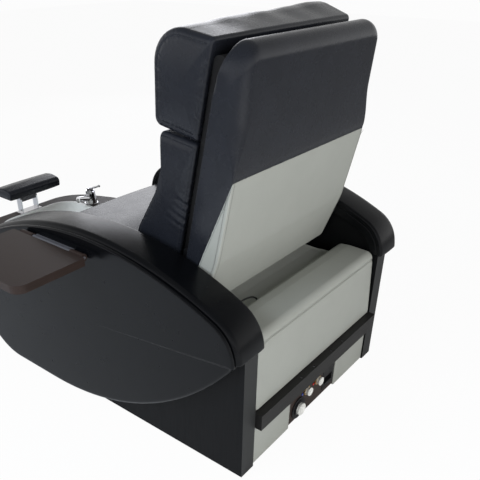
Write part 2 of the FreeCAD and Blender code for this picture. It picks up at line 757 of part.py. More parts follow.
def back_outline(drop, drawn):
    """The back shell's side outline, with its top lowered and its rear drawn in."""
    top_z = d.back_height - drop
    top_y = back_line(top_z) + d.back_top_depth - 6 - drawn
    belly_y = back_line(belly_z) + d.back_belly_depth - drawn
    fold_y = back_line(fold_z) + d.back_belly_depth - drawn
    foot_y = back_line(d.back_foot) + 0.75 * d.back_belly_depth - drawn
    return [
        (back_line(d.back_foot), d.back_foot, 6),
        (foot_y, d.back_foot - 3, 12),
        (fold_y, fold_z, 160),
        (belly_y, belly_z, 600),
        (top_y, top_z, 16),
        (back_line(top_z) + 12, top_z, 10),
        (back_line(top_z - 50), top_z - 50, 60),
    ]


def back_shell_shape():
    """Sections from side to side, rounded at the upper corners and the rear edges."""
    half = d.back_width / 2
    wires = []
    reaches = [d.back_corner * math.sin(math.radians(a)) for a in (0, 30, 50, 65, 78, 90)]
    places = [half - d.back_corner + reach for reach in reaches]
    for x in [-x for x in reversed(places)] + places:
        into_corner = max(0.0, abs(x) - (half - d.back_corner))
        drop = d.back_corner - math.sqrt(max(0.0, d.back_corner ** 2 - into_corner ** 2))
        into_round = max(0.0, abs(x) - (half - d.back_round))
        drawn = d.back_round - math.sqrt(max(0.0, d.back_round ** 2 - into_round ** 2))
        wires.append(side_wire(back_outline(drop, drawn), x))
    return Part.makeLoft(wires, True, True)


def seam_wedge():
    """Everything behind the sloping seam between the two colours."""
    upper = (rear - 99, 791)
    lower = (rear - 201, 558)
    slope = (upper[0] - lower[0]) / (upper[1] - lower[1])
    foot_z = d.back_foot - 40
    head_z = upper[1] + 60
    outline = [
        (upper[0] + slope * (head_z - upper[1]), head_z),
        (rear + 200, head_z),
        (rear + 200, foot_z),
        (lower[0] - slope * (lower[1] - foot_z), foot_z),
    ]
    wire = Part.makePolygon([Vector(-d.inner_width, y, z) for y, z in outline + outline[:1]])
    return Part.Face(wire).extrude(Vector(2 * d.inner_width, 0, 0))


back_shell = back_shell_shape()
wedge = seam_wedge()
keep(feature("back_cover_upper", back_shell.cut(wedge)), "back_cover_upper")
keep(feature("back_cover_lower", back_shell.common(wedge)), "back_cover_lower")

# Headrest and lumbar cushions in front of the back board

front_gap = d.board_depth + d.fit_gap
head_front = back_line(d.headrest_foot, front_gap + d.headrest_depth)
headrest_corners = [
    (back_line(d.headrest_foot, front_gap), d.headrest_foot, 6),
    (back_line(d.headrest_top - 34, front_gap), d.headrest_top - 34, 16),
    (back_line(d.headrest_top, front_gap + 94), d.headrest_top, 62),
    (head_front + 22, d.headrest_top - 44, 42),
    (head_front + 6, d.headrest_foot + 72, 80),
    (head_front + 18, d.headrest_foot + 18, 16),
]
cushion_half = d.cushion_width / 2
keep(feature("headrest_cushion", padded(headrest_corners, cushion_half, 5, 9)), "headrest_cushion")

lumbar_top = d.headrest_foot - d.lumbar_gap
lumbar_foot = d.seat_top + 5
lumbar_corners = [
    (back_line(lumbar_foot, front_gap), lumbar_foot, 8),
    (back_line(lumbar_top - 22, front_gap), lumbar_top - 22, 8),
    (rear - 328, lumbar_top + 4, 14),
    (rear - 326, 790, 90),
    (rear - 350, 712, 120),
    (rear - 428, 592, 110),
    (rear - 458, lumbar_foot + 30, 50),
    (rear - 448, lumbar_foot, 14),
]
keep(feature("lumbar_cushion", padded(lumbar_corners, cushion_half, 4, 9)), "lumbar_cushion")

# Hinge plates on the board's sides, and the lever that the motor pushes

plate_x = cushion_half - 14
hinge_thick = 6


def hinge_plate(x, thick, low_z, low_y, eye_radius):
    """A flat link from the board down to an eye."""
    top = d.back_foot + 150
    outline = [
        (back_line(top, 4), top, 4),
        (back_line(top, d.board_depth - 4), top, 4),
        (back_line(d.back_foot + 20, d.board_depth - 2), d.back_foot + 20, 10),
        (low_y - 14, low_z, 4),
        (low_y + 14, low_z, 4),
        (back_line(d.back_foot + 20, 2), d.back_foot + 20, 10),
    ]
    bar_face = Part.Face(side_wire(outline, x)).extrude(Vector(thick, 0, 0))
    eye = Part.makeCylinder(eye_radius, thick, Vector(x, low_y, low_z), Vector(1, 0, 0))
    return bar_face.fuse(eye)


def hinge_shape():
    bore = Part.makeCylinder(
        d.shaft_radius + d.shaft_clearance, 2 * d.inner_width,
        Vector(-d.inner_width, pivot_y, d.pivot_height), Vector(1, 0, 0),
    )
    plates = []
    for x in (plate_x, -plate_x - hinge_thick):
        plates.append(hinge_plate(x, hinge_thick, d.pivot_height, pivot_y, 18).cut(bore).removeSplitter())
    return plates


def lever_shape():
    """A forked lever under the board, with the pin that the motor's rod holds."""
    blades = []
    for x in (16, -22):
        outline = [
            (pivot_y - 15, back_foot_z - d.fit_gap, 2),
            (pivot_y - 20, d.pivot_height, 30),
            (pivot_y - 11, lever_z, 4),
            (pivot_y + 11, lever_z, 4),
            (pivot_y + 20, d.pivot_height, 30),
            (pivot_y + 15, back_foot_z - d.fit_gap, 2),
        ]
        blade = Part.Face(side_wire(outline, x)).extrude(Vector(6, 0, 0))
        foot = Part.makeCylinder(14, 6, Vector(x, pivot_y, lever_z), Vector(1, 0, 0))
        blades.append(blade.fuse(foot))
    bridge = solid_box(-22, back_line(back_foot_z, d.board_depth - 3), back_foot_z - 6 - d.fit_gap, 44, 28, 6)
    pin = Part.makeCylinder(pin_radius, 38, Vector(-19, pivot_y, lever_z), Vector(1, 0, 0))
    bore = Part.makeCylinder(
        d.shaft_radius + d.shaft_clearance, 100, Vector(-50, pivot_y, d.pivot_height), Vector(1, 0, 0),
    )
    return bridge.multiFuse(blades + [pin]).cut(bore).removeSplitter()


keep(feature("back_hinge", Part.makeCompound(hinge_shape() + [lever_shape()])), "back_hinge")

# Recline motor: a body hung from the carriage and a rod that pushes the lever

motor_radius = 21
rod_end_gap = 1.7


def motor_shape():
    tube = Part.makeCylinder(motor_radius, 170, Vector(0, motor_y + 24, motor_z), Vector(0, 1, 0))
    gearbox = solid_box(-20, motor_y + 20, motor_z - 62, 40, 62, 60)
    tang = solid_box(-6, motor_y - 12, motor_z - 12, 12, 40, 24)
    bore = Part.makeCylinder(9 + d.shaft_clearance, 150, Vector(0, motor_y + 50, motor_z), Vector(0, 1, 0))
    pin_bore = Part.makeCylinder(pin_radius + d.shaft_clearance, 40, Vector(-20, motor_y, motor_z), Vector(1, 0, 0))
    return tube.multiFuse([gearbox, tang]).cut(bore).cut(pin_bore).removeSplitter()


def rod_shape():
    stem = Part.makeCylinder(9, 226, Vector(0, motor_y + 92, motor_z), Vector(0, 1, 0))
    eye = Part.makeCylinder(13, 24, Vector(-12, pivot_y, motor_z), Vector(1, 0, 0))
    bore = Part.makeCylinder(pin_radius + rod_end_gap, 40, Vector(-20, pivot_y, motor_z), Vector(1, 0, 0))
    return stem.fuse(eye).cut(bore).removeSplitter()


keep(feature("recline_motor", motor_shape()), "recline_motor")
keep(feature("recline_rod", rod_shape()), "recline_rod")

# Basin: skirt, deck and bowl. The plan tapers to a rounded front

front_y = -d.half_length
basin_rear = board_front + 40


def basin_plan(inset, rear_y):
    """The basin's plan, drawn in by the inset at its sides and front."""
    half = d.inner_width / 2 - d.fit_gap - inset
    nose = d.basin_nose / 2 - 0.7 * inset
    return [
        (half, rear_y, 2),
        (-half, rear_y, 2),
        (-half, front_y + 210, 240),
        (-nose, front_y + inset, 150 - inset),
        (nose, front_y + inset, 150 - inset),
        (half, front_y + 210, 240),
    ]


skirt_top = d.deck_level - d.deck_thick


def skirt_shape():
    outer = Part.Face(plan_wire(basin_plan(10, basin_rear), 0))
    inner = Part.Face(plan_wire(basin_plan(10 + d.skirt_thick, basin_rear + 60), -1))
    return outer.extrude(Vector(0, 0, skirt_top)).cut(inner.extrude(Vector(0, 0, skirt_top + 2)))


keep(feature("basin_skirt", skirt_shape()), "basin_skirt")

bowl_front = front_y + d.bowl_front_gap
bowl_rear = bowl_front + d.bowl_length
waste_radius = 22


def bowl_plan(grow, drawn=0.0):
    """The bowl's opening, grown outwards, or drawn in towards its floor."""
    half = d.bowl_width / 2 + grow - drawn
    low = bowl_front - grow + drawn
    high = bowl_rear + grow - drawn
    radius = d.bowl_corner + grow - 0.6 * drawn
    return [(-half, low, radius), (half, low, radius), (half, high, radius), (-half, high, radius)]


deck_outline = rounded_edges(basin_plan(0, basin_rear))
deck_body = sketch_body("basin_deck", "plan", deck_outline, "deck_thick", ("0", "0", "deck_level - deck_thick"))
pierce(deck_body, 0, rounded_edges(bowl_plan(d.bowl_wall + 1)), d.deck_thick + 2, "bowl_hole", True)
faucet_hole = [Part.Circle(Vector(d.faucet_offset, -d.faucet_ahead, 0), Vector(0, 0, 1), 15)]
pierce(deck_body, 0, faucet_hole, d.deck_thick + 2, "faucet_hole", True)
BUTTON = (215, -560)
button_radius = 14
button_hole = [Part.Circle(Vector(*BUTTON, 0), Vector(0, 0, 1), button_radius + 3)]
pierce(deck_body, 0, button_hole, d.deck_thick + 2, "button_hole", True)
keep(deck_body, "basin_deck")

bowl_floor = d.deck_level - d.bowl_depth
rim_top = d.deck_level + d.rim_thick
jet_slope = math.atan2(d.bowl_draft, rim_top - bowl_floor)
jet_z = bowl_floor + 0.5 * d.bowl_depth
jet_y = bowl_rear - d.bowl_draft * (rim_top - jet_z) / (rim_top - bowl_floor)
jet_axis = Vector(0, -math.cos(jet_slope), math.sin(jet_slope))
jet_centre = Vector(0, jet_y, jet_z)
waste_y = (bowl_front + bowl_rear) / 2


def on_jet(radius, start, end):
    """A cylinder on the jet's axis, measured into the bowl from its wall."""
    return Part.makeCylinder(radius, end - start, jet_centre + jet_axis * start, jet_axis)


def bowl_shape():
    outer = Part.makeLoft([
        plan_wire(bowl_plan(d.bowl_wall, d.bowl_draft), bowl_floor - d.bowl_wall),
        plan_wire(bowl_plan(d.bowl_wall), rim_top),
    ], True, True)
    inner = Part.makeLoft([
        plan_wire(bowl_plan(0, d.bowl_draft), bowl_floor),
        plan_wire(bowl_plan(0), rim_top + 0.01),
    ], True, True)
    rim = Part.Face(plan_wire(bowl_plan(d.rim_width), d.deck_level)).extrude(Vector(0, 0, d.rim_thick))
    waste = Part.makeCylinder(waste_radius, 40, Vector(0, waste_y, bowl_floor - 20), Vector(0, 0, 1))
    jet_hole = on_jet(d.jet_radius + d.fit_gap, -30, 20)
    return outer.fuse(rim).cut(inner).cut(waste).cut(jet_hole).removeSplitter()


keep(feature("basin_bowl", bowl_shape()), "basin_bowl")

# Jet: housing through the bowl's rear wall, impeller, motor and slotted cover

jet_cup_depth = 46
jet_wall = 5


def jet_housing_shape():
    cup = on_jet(d.jet_radius, -jet_cup_depth, 0).fuse(on_jet(d.jet_radius + 7, -d.bowl_wall - 6, -d.bowl_wall - 1))
    cavity = on_jet(d.jet_radius - jet_wall, -jet_cup_depth + jet_wall, 1)
    shaft_bore = on_jet(5 + d.shaft_clearance, -jet_cup_depth - 1, 0)
    return cup.cut(cavity).cut(shaft_bore)


def jet_impeller_shape():
    hub = on_jet(10, -36, -14).fuse(on_jet(5, -jet_cup_depth - 12, -14))
    blades = []
    for i in range(6):
        blade = solid_box(0, -1.5, 0, d.jet_radius - jet_wall - 4, 3, 18)
        blade.Placement = Placement(
            jet_centre + jet_axis * -34,
            Rotation(Vector(0, 0, 1), jet_axis).multiply(Rotation(Vector(0, 0, 1), 60 * i)),
        )
        blades.append(blade)
    return hub.multiFuse(blades).removeSplitter()


def jet_cover_shape():
    cover = on_jet(d.jet_radius + 12, 0.3, 9)
    well = on_jet(d.jet_radius + 8, -1, 5)
    outlets = []
    for i in range(8):
        angle = math.radians(45 * i)
        outlet = Part.makeCylinder(6, 30, Vector(24 * math.cos(angle), 24 * math.sin(angle), -10), Vector(0, 0, 1))
        outlet.Placement = Placement(jet_centre, Rotation(Vector(0, 0, 1), jet_axis)).multiply(outlet.Placement)
        outlets.append(outlet)
    return cover.cut(well).cut(Part.makeCompound(outlets))


def jet_motor_shape():
    can = on_jet(33, -jet_cup_depth - 78, -jet_cup_depth - 0.3)
    return can.cut(on_jet(5 + d.shaft_clearance, -jet_cup_depth - 13, 0))


keep(feature("jet_housing", jet_housing_shape()), "jet_housing")
keep(feature("jet_impeller", jet_impeller_shape()), "jet_impeller")
keep(feature("jet_cover", jet_cover_shape()), "jet_cover")
keep(feature("jet_motor", jet_motor_shape()), "jet_motor")

# Waste: flanged seat in the bowl's floor, lifting plug and the pipe to the rear


def waste_shape():
    flange = Part.makeCylinder(waste_radius + 10, 3, Vector(0, waste_y, bowl_floor + 0.2))
    neck = Part.makeCylinder(waste_radius - 0.3, 36, Vector(0, waste_y, bowl_floor - 34))
    bore = Part.makeCylinder(waste_radius - 4, 60, Vector(0, waste_y, bowl_floor - 40))
    bridge = solid_box(-waste_radius + 2, waste_y - 3, bowl_floor - 24, 2 * waste_radius - 4, 6, 4)
    guide = Part.makeCylinder(4 + d.shaft_clearance, 20, Vector(0, waste_y, bowl_floor - 30))
    hub = Part.makeCylinder(8, 8, Vector(0, waste_y, bowl_floor - 28))
    return flange.fuse(neck).cut(bore).multiFuse([bridge, hub]).cut(guide).removeSplitter()


def plug_shape():
    dome = Part.makeCylinder(waste_radius + 4, 4, Vector(0, waste_y, bowl_floor + 3.5))
    stem = Part.makeCylinder(4, 32, Vector(0, waste_y, bowl_floor - 28))
    return dome.fuse(stem).removeSplitter()


keep(feature("waste_seat", waste_shape()), "waste_seat")
keep(feature("waste_plug", plug_shape()), "waste_plug")


def pipe(points, radius, bend):
    """A round pipe along straight runs joined by arcs of one bend radius."""
    nodes_at = [Vector(*p) for p in points]
    edges = []
    start = nodes_at[0]
    for before, here, after in zip(nodes_at, nodes_at[1:], nodes_at[2:]):
        back = before - here
        ahead = after - here
        back.normalize()
        ahead.normalize()
        half = back.getAngle(ahead) / 2
        run = bend / math.tan(half)
        middle = back + ahead
        middle.normalize()
        centre = here + middle * (bend / math.sin(half))
        enter = here + back * run
        leave = here + ahead * run
        edges.append(Part.LineSegment(start, enter).toShape())
        edges.append(Part.Arc(enter, centre - middle * bend, leave).toShape())
        start = leave
    edges.append(Part.LineSegment(start, nodes_at[-1]).toShape())
    path = Part.Wire(edges)
    direction = nodes_at[1] - nodes_at[0]
    section = Part.Wire([Part.Circle(nodes_at[0], direction, radius).toShape()])
    return path.makePipeShell([section], True, False)


waste_z = bowl_floor - 34
tail_y = rear - d.bay_recess - d.plate_thick
keep(feature("drain_pipe", pipe(
    [(0, waste_y, waste_z), (0, waste_y, d.drain_height), (0, waste_y + 160, d.drain_height),
     (d.drain_offset, tail_y - 200, d.drain_height), (d.drain_offset, tail_y - 30, d.drain_height)],
    d.drain_radius, 30,
)), "drain_pipe")
hose_radius = 7
faucet_y = -d.faucet_ahead
for water, shift in (("cold", 9), ("hot", -9)):
    x = d.cold_offset if water == "cold" else d.hot_offset
    x_side = d.faucet_offset + shift
    low = 30 if water == "cold" else 62
    hose = pipe(
        [(x_side, faucet_y, d.deck_level - d.deck_thick - 14), (x_side, faucet_y, low),
         (x_side, tail_y - 330, low), (x, tail_y - 150, d.inlet_height), (x, tail_y - 26, d.inlet_height)],
        hose_radius, 16,
    )
    keep(feature(f"{water}_hose", hose), f"{water}_hose")

# Faucet: base ring and domed body, a turning cartridge cap and its lever

cap_z = d.deck_level + 46


def faucet_body_shape():
    base = Vector(d.faucet_offset, faucet_y, d.deck_level)
    ring = Part.makeCylinder(d.faucet_base, 5, base)
    cone = Part.makeCone(d.faucet_base - 3, 19, 41, base + Vector(0, 0, 5))
    tail = Part.makeCylinder(14.5, d.deck_thick + 14, base - Vector(0, 0, d.deck_thick + 14))
    nut = Part.makeCylinder(22, 8, base - Vector(0, 0, d.deck_thick + 8.3))
    spout_root = base + Vector(0, 0, 22)
    aim = Vector(0.94, 0.20, 0.28)
    aim.normalize()
    spout = Part.makeCone(12, 9, 86, spout_root, aim)
    outlet = Part.makeCylinder(9, 16, spout_root + aim * 80 - Vector(0, 0, 14))
    body = ring.multiFuse([cone, tail, nut, spout, outlet])
    socket = Part.makeCylinder(12 + d.shaft_clearance, 20, base + Vector(0, 0, 34))
    return body.cut(socket).removeSplitter()


def faucet_cap_shape():
    base = Vector(d.faucet_offset, faucet_y, cap_z)
    stem = Part.makeCylinder(12, 11, base - Vector(0, 0, 10.7))
    dome = Part.makeCylinder(19, 12, base + Vector(0, 0, 0.3))
    slot = solid_box(d.faucet_offset - 6.5, faucet_y - 14, cap_z + 4, 13, 44, 30)
    ears = [
        solid_box(x, faucet_y - 7, cap_z + 12, 5, 14, 10)
        for x in (d.faucet_offset - 12, d.faucet_offset + 7)
    ]
    pin = Part.makeCylinder(2.5, 24, Vector(d.faucet_offset - 12, faucet_y, cap_z + 17), Vector(1, 0, 0))
    return stem.multiFuse([dome] + ears).cut(slot).fuse(pin).removeSplitter()


def faucet_lever_shape():
    hub = Part.makeCylinder(6, 12, Vector(d.faucet_offset - 6, faucet_y, cap_z + 17), Vector(1, 0, 0))
    tip = Vector(0, 62, 26)
    tip.normalize()
    handle = Part.makeCone(5.2, 3.6, 66, Vector(d.faucet_offset, faucet_y, cap_z + 17), tip)
    knob = Part.makeSphere(5.4, Vector(d.faucet_offset, faucet_y, cap_z + 17) + tip * 64)
    bore = Part.makeCylinder(
        2.5 + d.shaft_clearance, 30, Vector(d.faucet_offset - 15, faucet_y, cap_z + 17), Vector(1, 0, 0),
    )
    return hub.multiFuse([handle, knob]).cut(bore).removeSplitter()


keep(feature("faucet_body", faucet_body_shape()), "faucet_body")
keep(feature("faucet_cap", faucet_cap_shape()), "faucet_cap")
keep(feature("faucet_lever", faucet_lever_shape()), "faucet_lever")

# Air button that switches the jet, in a bezel on the deck


def button_shapes():
    base = Vector(*BUTTON, d.deck_level)
    bezel = Part.makeCylinder(button_radius + 8, 4, base)
    neck = Part.makeCylinder(button_radius + 2.7, d.deck_thick + 14, base - Vector(0, 0, d.deck_thick + 14))
    well = Part.makeCylinder(button_radius, 40, base - Vector(0, 0, d.deck_thick + 10))
    button = Part.makeCylinder(button_radius - 0.3, d.deck_thick + 8, base - Vector(0, 0, d.deck_thick))
    return bezel.fuse(neck).cut(well), button


bezel_shape, button_shape = button_shapes()
keep(feature("jet_button_bezel", bezel_shape), "jet_button_bezel")
keep(feature("jet_button", button_shape), "jet_button")

# Footrest: forked stand on the front of the deck and a tilting pad

footrest_y = front_y + 32
fork_half = 40
fork_thick = 6


def footrest_stand_shape():
    base = solid_box(-fork_half - 10, footrest_y - 20, d.deck_level, 2 * fork_half + 20, 40, 6)
    pieces = []
    for x in (-fork_half, fork_half - fork_thick):
        pieces.append(solid_box(x, footrest_y - 13, d.deck_level, fork_thick, 26, d.footrest_level - d.deck_level))
        pieces.append(Part.makeCylinder(13, fork_thick, Vector(x, footrest_y, d.footrest_level), Vector(1, 0, 0)))
    pieces.append(Part.makeCylinder(6, 2 * fork_half, Vector(-fork_half, footrest_y, d.footrest_level),
                                    Vector(1, 0, 0)))
    return base.multiFuse(pieces).removeSplitter()


def footrest_arm_shape():
    """The link that turns on the stand's pin and carries the pad."""
    hub = Part.makeCylinder(12, 2 * fork_half - 2 * fork_thick - 2,
                            Vector(-fork_half + fork_thick + 1, footrest_y, d.footrest_level), Vector(1, 0, 0))
    plate = solid_box(-30, footrest_y - 8, d.footrest_level, 60, 22, 30)
    top = solid_box(-80, footrest_y - 22, d.footrest_level + 26, 160, 56, 5)
    bore = Part.makeCylinder(6 + d.shaft_clearance, 200, Vector(-100, footrest_y, d.footrest_level), Vector(1, 0, 0))
    return hub.multiFuse([plate, top]).cut(bore).removeSplitter()


pad_y = footrest_y - 24
pad_z = d.footrest_level + 31 + d.fit_gap
footrest_corners = [
    (pad_y, pad_z, 6),
    (pad_y - 2, pad_z + 0.8 * d.footrest_thick, 18),
    (pad_y + d.footrest_depth / 2, pad_z + d.footrest_thick, 80),
    (pad_y + d.footrest_depth + 2, pad_z + 0.8 * d.footrest_thick, 18),
    (pad_y + d.footrest_depth, pad_z, 6),
]
keep(feature("footrest_stand", footrest_stand_shape()), "footrest_stand")
keep(feature("footrest_arm", footrest_arm_shape()), "footrest_arm")
keep(feature("footrest_pad", padded(footrest_corners, d.footrest_width / 2, 1.5, 5)), "footrest_pad")

# Side trays: fold down about a hinge along the side shell

hinge_x = shell_outer + d.tray_standoff
hinge_z = d.tray_level - d.tray_thick / 2
tray_end = rear - d.tray_rear
tray_start = tray_end - d.tray_length
knuckle = d.tray_thick / 2
knuckle_length = 50
tray_pin = 4


def tray_shape(sign):
    inner = hinge_x + knuckle + 2
    plan = [
        (sign * inner, tray_start, 3),
        (sign * inner, tray_end, 3),
        (sign * (inner + d.tray_width), tray_end, 30),
        (sign * (inner + d.tray_width), tray_start, 30),
    ]
    slab = Part.Face(plan_wire(plan, d.tray_level - d.tray_thick)).extrude(Vector(0, 0, d.tray_thick))
    pieces = []
    for y in (tray_start + 20, tray_end - 20 - knuckle_length):
        centre = Vector(sign * hinge_x, y, hinge_z)
        pieces.append(Part.makeCylinder(knuckle - 0.5, knuckle_length, centre, Vector(0, 1, 0)))
        x = hinge_x if sign > 0 else -inner - 6
        pieces.append(solid_box(x, y, hinge_z - 5, inner + 6 - hinge_x, knuckle_length, 10))
    bore = Part.makeCylinder(tray_pin + d.shaft_clearance, 2 * d.tray_length,
                             Vector(sign * hinge_x, tray_start - 50, hinge_z), Vector(0, 1, 0))
    return slab.multiFuse(pieces).cut(bore).removeSplitter()


def tray_bracket_shape(sign):
    """Wall plate, middle knuckle and pin of a tray's hinge."""
    x = shell_outer if sign > 0 else -shell_outer - 2
    plate = solid_box(x, tray_start + 76, hinge_z - 34, 2, d.tray_length - 152, 40)
    arm_x = shell_outer if sign > 0 else -hinge_x
    low = tray_start + 20 + knuckle_length + 1
    length = d.tray_length - 42 - 2 * knuckle_length
    arm = solid_box(arm_x, low, hinge_z - 6, hinge_x - shell_outer, length, 12)
    barrel = Part.makeCylinder(8, length, Vector(sign * hinge_x, low, hinge_z), Vector(0, 1, 0))
    pin = Part.makeCylinder(tray_pin, d.tray_length - 36, Vector(sign * hinge_x, tray_start + 18, hinge_z),
                            Vector(0, 1, 0))
    return plate.multiFuse([arm, barrel, pin]).removeSplitter()


keep(feature("tray_brackets", Part.makeCompound([tray_bracket_shape(s) for s in (1, -1)])), "tray_brackets")
for side, sign in (("left", 1), ("right", -1)):
    keep(feature(f"tray_{side}", tray_shape(sign)), f"tray_{side}")

# Switch panel on the right board's inner face, with two rockers

switch_y = rear - 723
switch_z = d.arm_base + 86
rocker_length = 30
rocker_width = 20


def switch_plate_shape():
    x = -d.inner_width / 2
    plate = solid_box(x, switch_y - 50, switch_z - 22, 4, 100, 44)
    for y in (switch_y - 24, switch_y + 24):
        plate = plate.cut(solid_box(x + 1, y - 16, switch_z - 11, 10, 32, 22))
    for y in (switch_y - 24, switch_y + 24):
        stub = Part.makeCylinder(1.5, 24, Vector(x + 3.4, y, switch_z - 12), Vector(0, 0, 1))
        plate = plate.fuse(stub)
    return plate


def rocker_shape(y):
    x = -d.inner_width / 2
    outline = [
        Vector(x + 2.6, y - rocker_length / 2, switch_z - rocker_width / 2),
        Vector(x + 6.2, y - rocker_length / 2, switch_z - rocker_width / 2),
        Vector(x + 5.2, y, switch_z - rocker_width / 2),
        Vector(x + 6.2, y + rocker_length / 2, switch_z - rocker_width / 2),
        Vector(x + 2.6, y + rocker_length / 2, switch_z - rocker_width / 2),
    ]
    face = Part.Face(Part.makePolygon(outline + outline[:1]))
    bore = Part.makeCylinder(1.5 + 0.05, 40, Vector(x + 3.4, y, switch_z - 20), Vector(0, 0, 1))
    return face.extrude(Vector(0, 0, rocker_width)).cut(bore)


keep(feature("switch_plate", switch_plate_shape()), "switch_plate")
keep(feature("slide_switch", rocker_shape(switch_y - 24)), "slide_switch")
keep(feature("recline_switch", rocker_shape(switch_y + 24)), "recline_switch")

# Lead: from the left arm's inner face across the deck's front into the trough

LEAD_POINTS = (
    (328.9, 566, 441), (301, 561, 434), (270, 555, 429), (238, 550, 425.5), (208, 547, 423),
    (180, 547, 421.5), (156, 550, 416.5), (139, 549.5, 405), (130.5, 548, 395), (124.5, 546.5, 385.6),
)


def cord_path(points):
    """Straight runs joined by the largest tangent arcs that they allow."""
    at = [Vector(*p) for p in points]
    edges = []
    radii = []
    start = at[0]
    for before, here, after in zip(at, at[1:], at[2:]):
        back = before - here
        ahead = after - here
        shorter = min(back.Length, ahead.Length)
        back.normalize()
        ahead.normalize()
        half = back.getAngle(ahead) / 2
        run = 0.45 * shorter
        radius = run * math.tan(half)
        middle = back + ahead
        middle.normalize()
        centre = here + middle * (radius / math.sin(half))
        enter = here + back * run
        leave = here + ahead * run
        edges.append(Part.LineSegment(start, enter).toShape())
        edges.append(Part.Arc(enter, centre - middle * radius, leave).toShape())
        radii.append(radius)
        start = leave
    edges.append(Part.LineSegment(start, at[-1]).toShape())
    return Part.Wire(edges), radii


lead_path, lead_radii = cord_path(LEAD_POINTS)
lead_section = Part.Wire([Part.Circle(
    Vector(*LEAD_POINTS[0]), Vector(*LEAD_POINTS[1]) - Vector(*LEAD_POINTS[0]), d.lead_radius,
).toShape()])
keep(feature("rear_lead", lead_path.makePipeShell([lead_section], True, False)), "rear_lead")
print("lead length", round(lead_path.Length, 1), "radii", [round(r) for r in lead_radii])

# Checks, then one file for each sub-part

doc.recompute()
for obj in doc.Objects:
    if "Invalid" in obj.State or "Error" in obj.State:
        raise RuntimeError(f"{obj.Name} failed: {obj.State}")
for obj in nodes:
    if obj.Shape.isNull() or not obj.Shape.isValid():
        raise RuntimeError(f"{obj.Label} has no valid shape")
    if not obj.Shape.Solids:
        raise RuntimeError(f"{obj.Label} has no solid")

os.makedirs("parts", exist_ok=True)
for obj in nodes:
    obj.Shape.exportStep(f"parts/{obj.Label}.step")
print(len(nodes), "sub-parts written")
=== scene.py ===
import math

import bmesh
import bpy
import numpy as np
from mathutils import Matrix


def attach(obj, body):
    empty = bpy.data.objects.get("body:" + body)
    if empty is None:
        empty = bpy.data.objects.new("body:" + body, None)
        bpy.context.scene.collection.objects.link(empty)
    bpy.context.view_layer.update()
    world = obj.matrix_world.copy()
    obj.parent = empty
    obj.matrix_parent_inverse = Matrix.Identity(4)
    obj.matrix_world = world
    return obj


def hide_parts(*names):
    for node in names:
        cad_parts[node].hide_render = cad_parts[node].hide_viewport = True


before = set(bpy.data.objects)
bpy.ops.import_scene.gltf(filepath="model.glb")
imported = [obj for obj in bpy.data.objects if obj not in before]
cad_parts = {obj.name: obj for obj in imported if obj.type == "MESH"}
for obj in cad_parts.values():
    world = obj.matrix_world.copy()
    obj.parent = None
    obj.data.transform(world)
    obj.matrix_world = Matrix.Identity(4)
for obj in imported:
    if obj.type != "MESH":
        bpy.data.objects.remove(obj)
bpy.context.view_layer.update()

MM = 0.001
scene = bpy.context.scene

# Camera: behind the chair on its left side, looking down at it. The picture is
# a crop of a wider one, which is why the lens is shifted.

camera = bpy.data.objects.new("camera", bpy.data.cameras.new("camera"))
scene.collection.objects.link(camera)
camera.location = (1.3300, 1.3549, 1.2282)
LOOKS_DOWN = 32.25
LOOKS_ROUND = 51.4
camera.rotation_euler = (math.radians(90 - LOOKS_DOWN), 0, math.radians(180 - LOOKS_ROUND))
camera.data.sensor_width = 36
camera.data.lens = 44.60
camera.data.shift_x = 0.0522
camera.data.shift_y = 0.1721
scene.camera = camera

# Lead: a thin black cable with a soft PVC jacket. It leaves a hole in the left
# board, lies across the front of the rear deck and drops into the trough.

CLOUD_LOW, CLOUD_HIGH = 0.3, 0.7


def new_finish(name):
    """An empty procedural material, with its node tree and its shader."""
    finish = bpy.data.materials.new(name)
    finish.use_nodes = True
    return finish, finish.node_tree, finish.node_tree.nodes["Principled BSDF"]


def noise(tree, scale, detail=3.0, stretch=(1, 1, 1)):
    """Noise fixed to the object, of so many cells a metre, stretched along an axis."""
    place = tree.nodes.new("ShaderNodeTexCoord")
    turn = tree.nodes.new("ShaderNodeMapping")
    turn.inputs["Scale"].default_value = stretch
    cloud = tree.nodes.new("ShaderNodeTexNoise")
    cloud.inputs["Scale"].default_value = scale
    cloud.inputs["Detail"].default_value = detail
    tree.links.new(place.outputs["Object"], turn.inputs["Vector"])
    tree.links.new(turn.outputs["Vector"], cloud.inputs["Vector"])
    return cloud.outputs["Fac"]


def between(tree, factor, low, high):
    """A number that goes from low to high over the range that noise mostly keeps to."""
    span = tree.nodes.new("ShaderNodeMapRange")
    span.inputs["From Min"].default_value = CLOUD_LOW
    span.inputs["From Max"].default_value = CLOUD_HIGH
    span.inputs["To Min"].default_value = low
    span.inputs["To Max"].default_value = high
    tree.links.new(factor, span.inputs["Value"])
    return span.outputs["Result"]


def tinted(tree, factor, colour, spread):
    """A colour that a factor makes a little darker and lighter."""
    ramp = tree.nodes.new("ShaderNodeValToRGB")
    ramp.color_ramp.elements[0].position = CLOUD_LOW
    ramp.color_ramp.elements[1].position = CLOUD_HIGH
    ramp.color_ramp.elements[0].color = (*[c * (1 - spread) for c in colour], 1)
    ramp.color_ramp.elements[1].color = (*[c * (1 + spread) for c in colour], 1)
    tree.links.new(factor, ramp.inputs["Fac"])
    return ramp.outputs["Color"]


def raised(tree, height, depth, strength, under=None):
    """A bump of a real depth in metres, on top of another bump if there is one."""
    bump = tree.nodes.new("ShaderNodeBump")
    bump.inputs["Distance"].default_value = depth
    bump.inputs["Strength"].default_value = strength
    tree.links.new(height, bump.inputs["Height"])
    if under is not None:
        tree.links.new(under, bump.inputs["Normal"])
    return bump.outputs["Normal"]


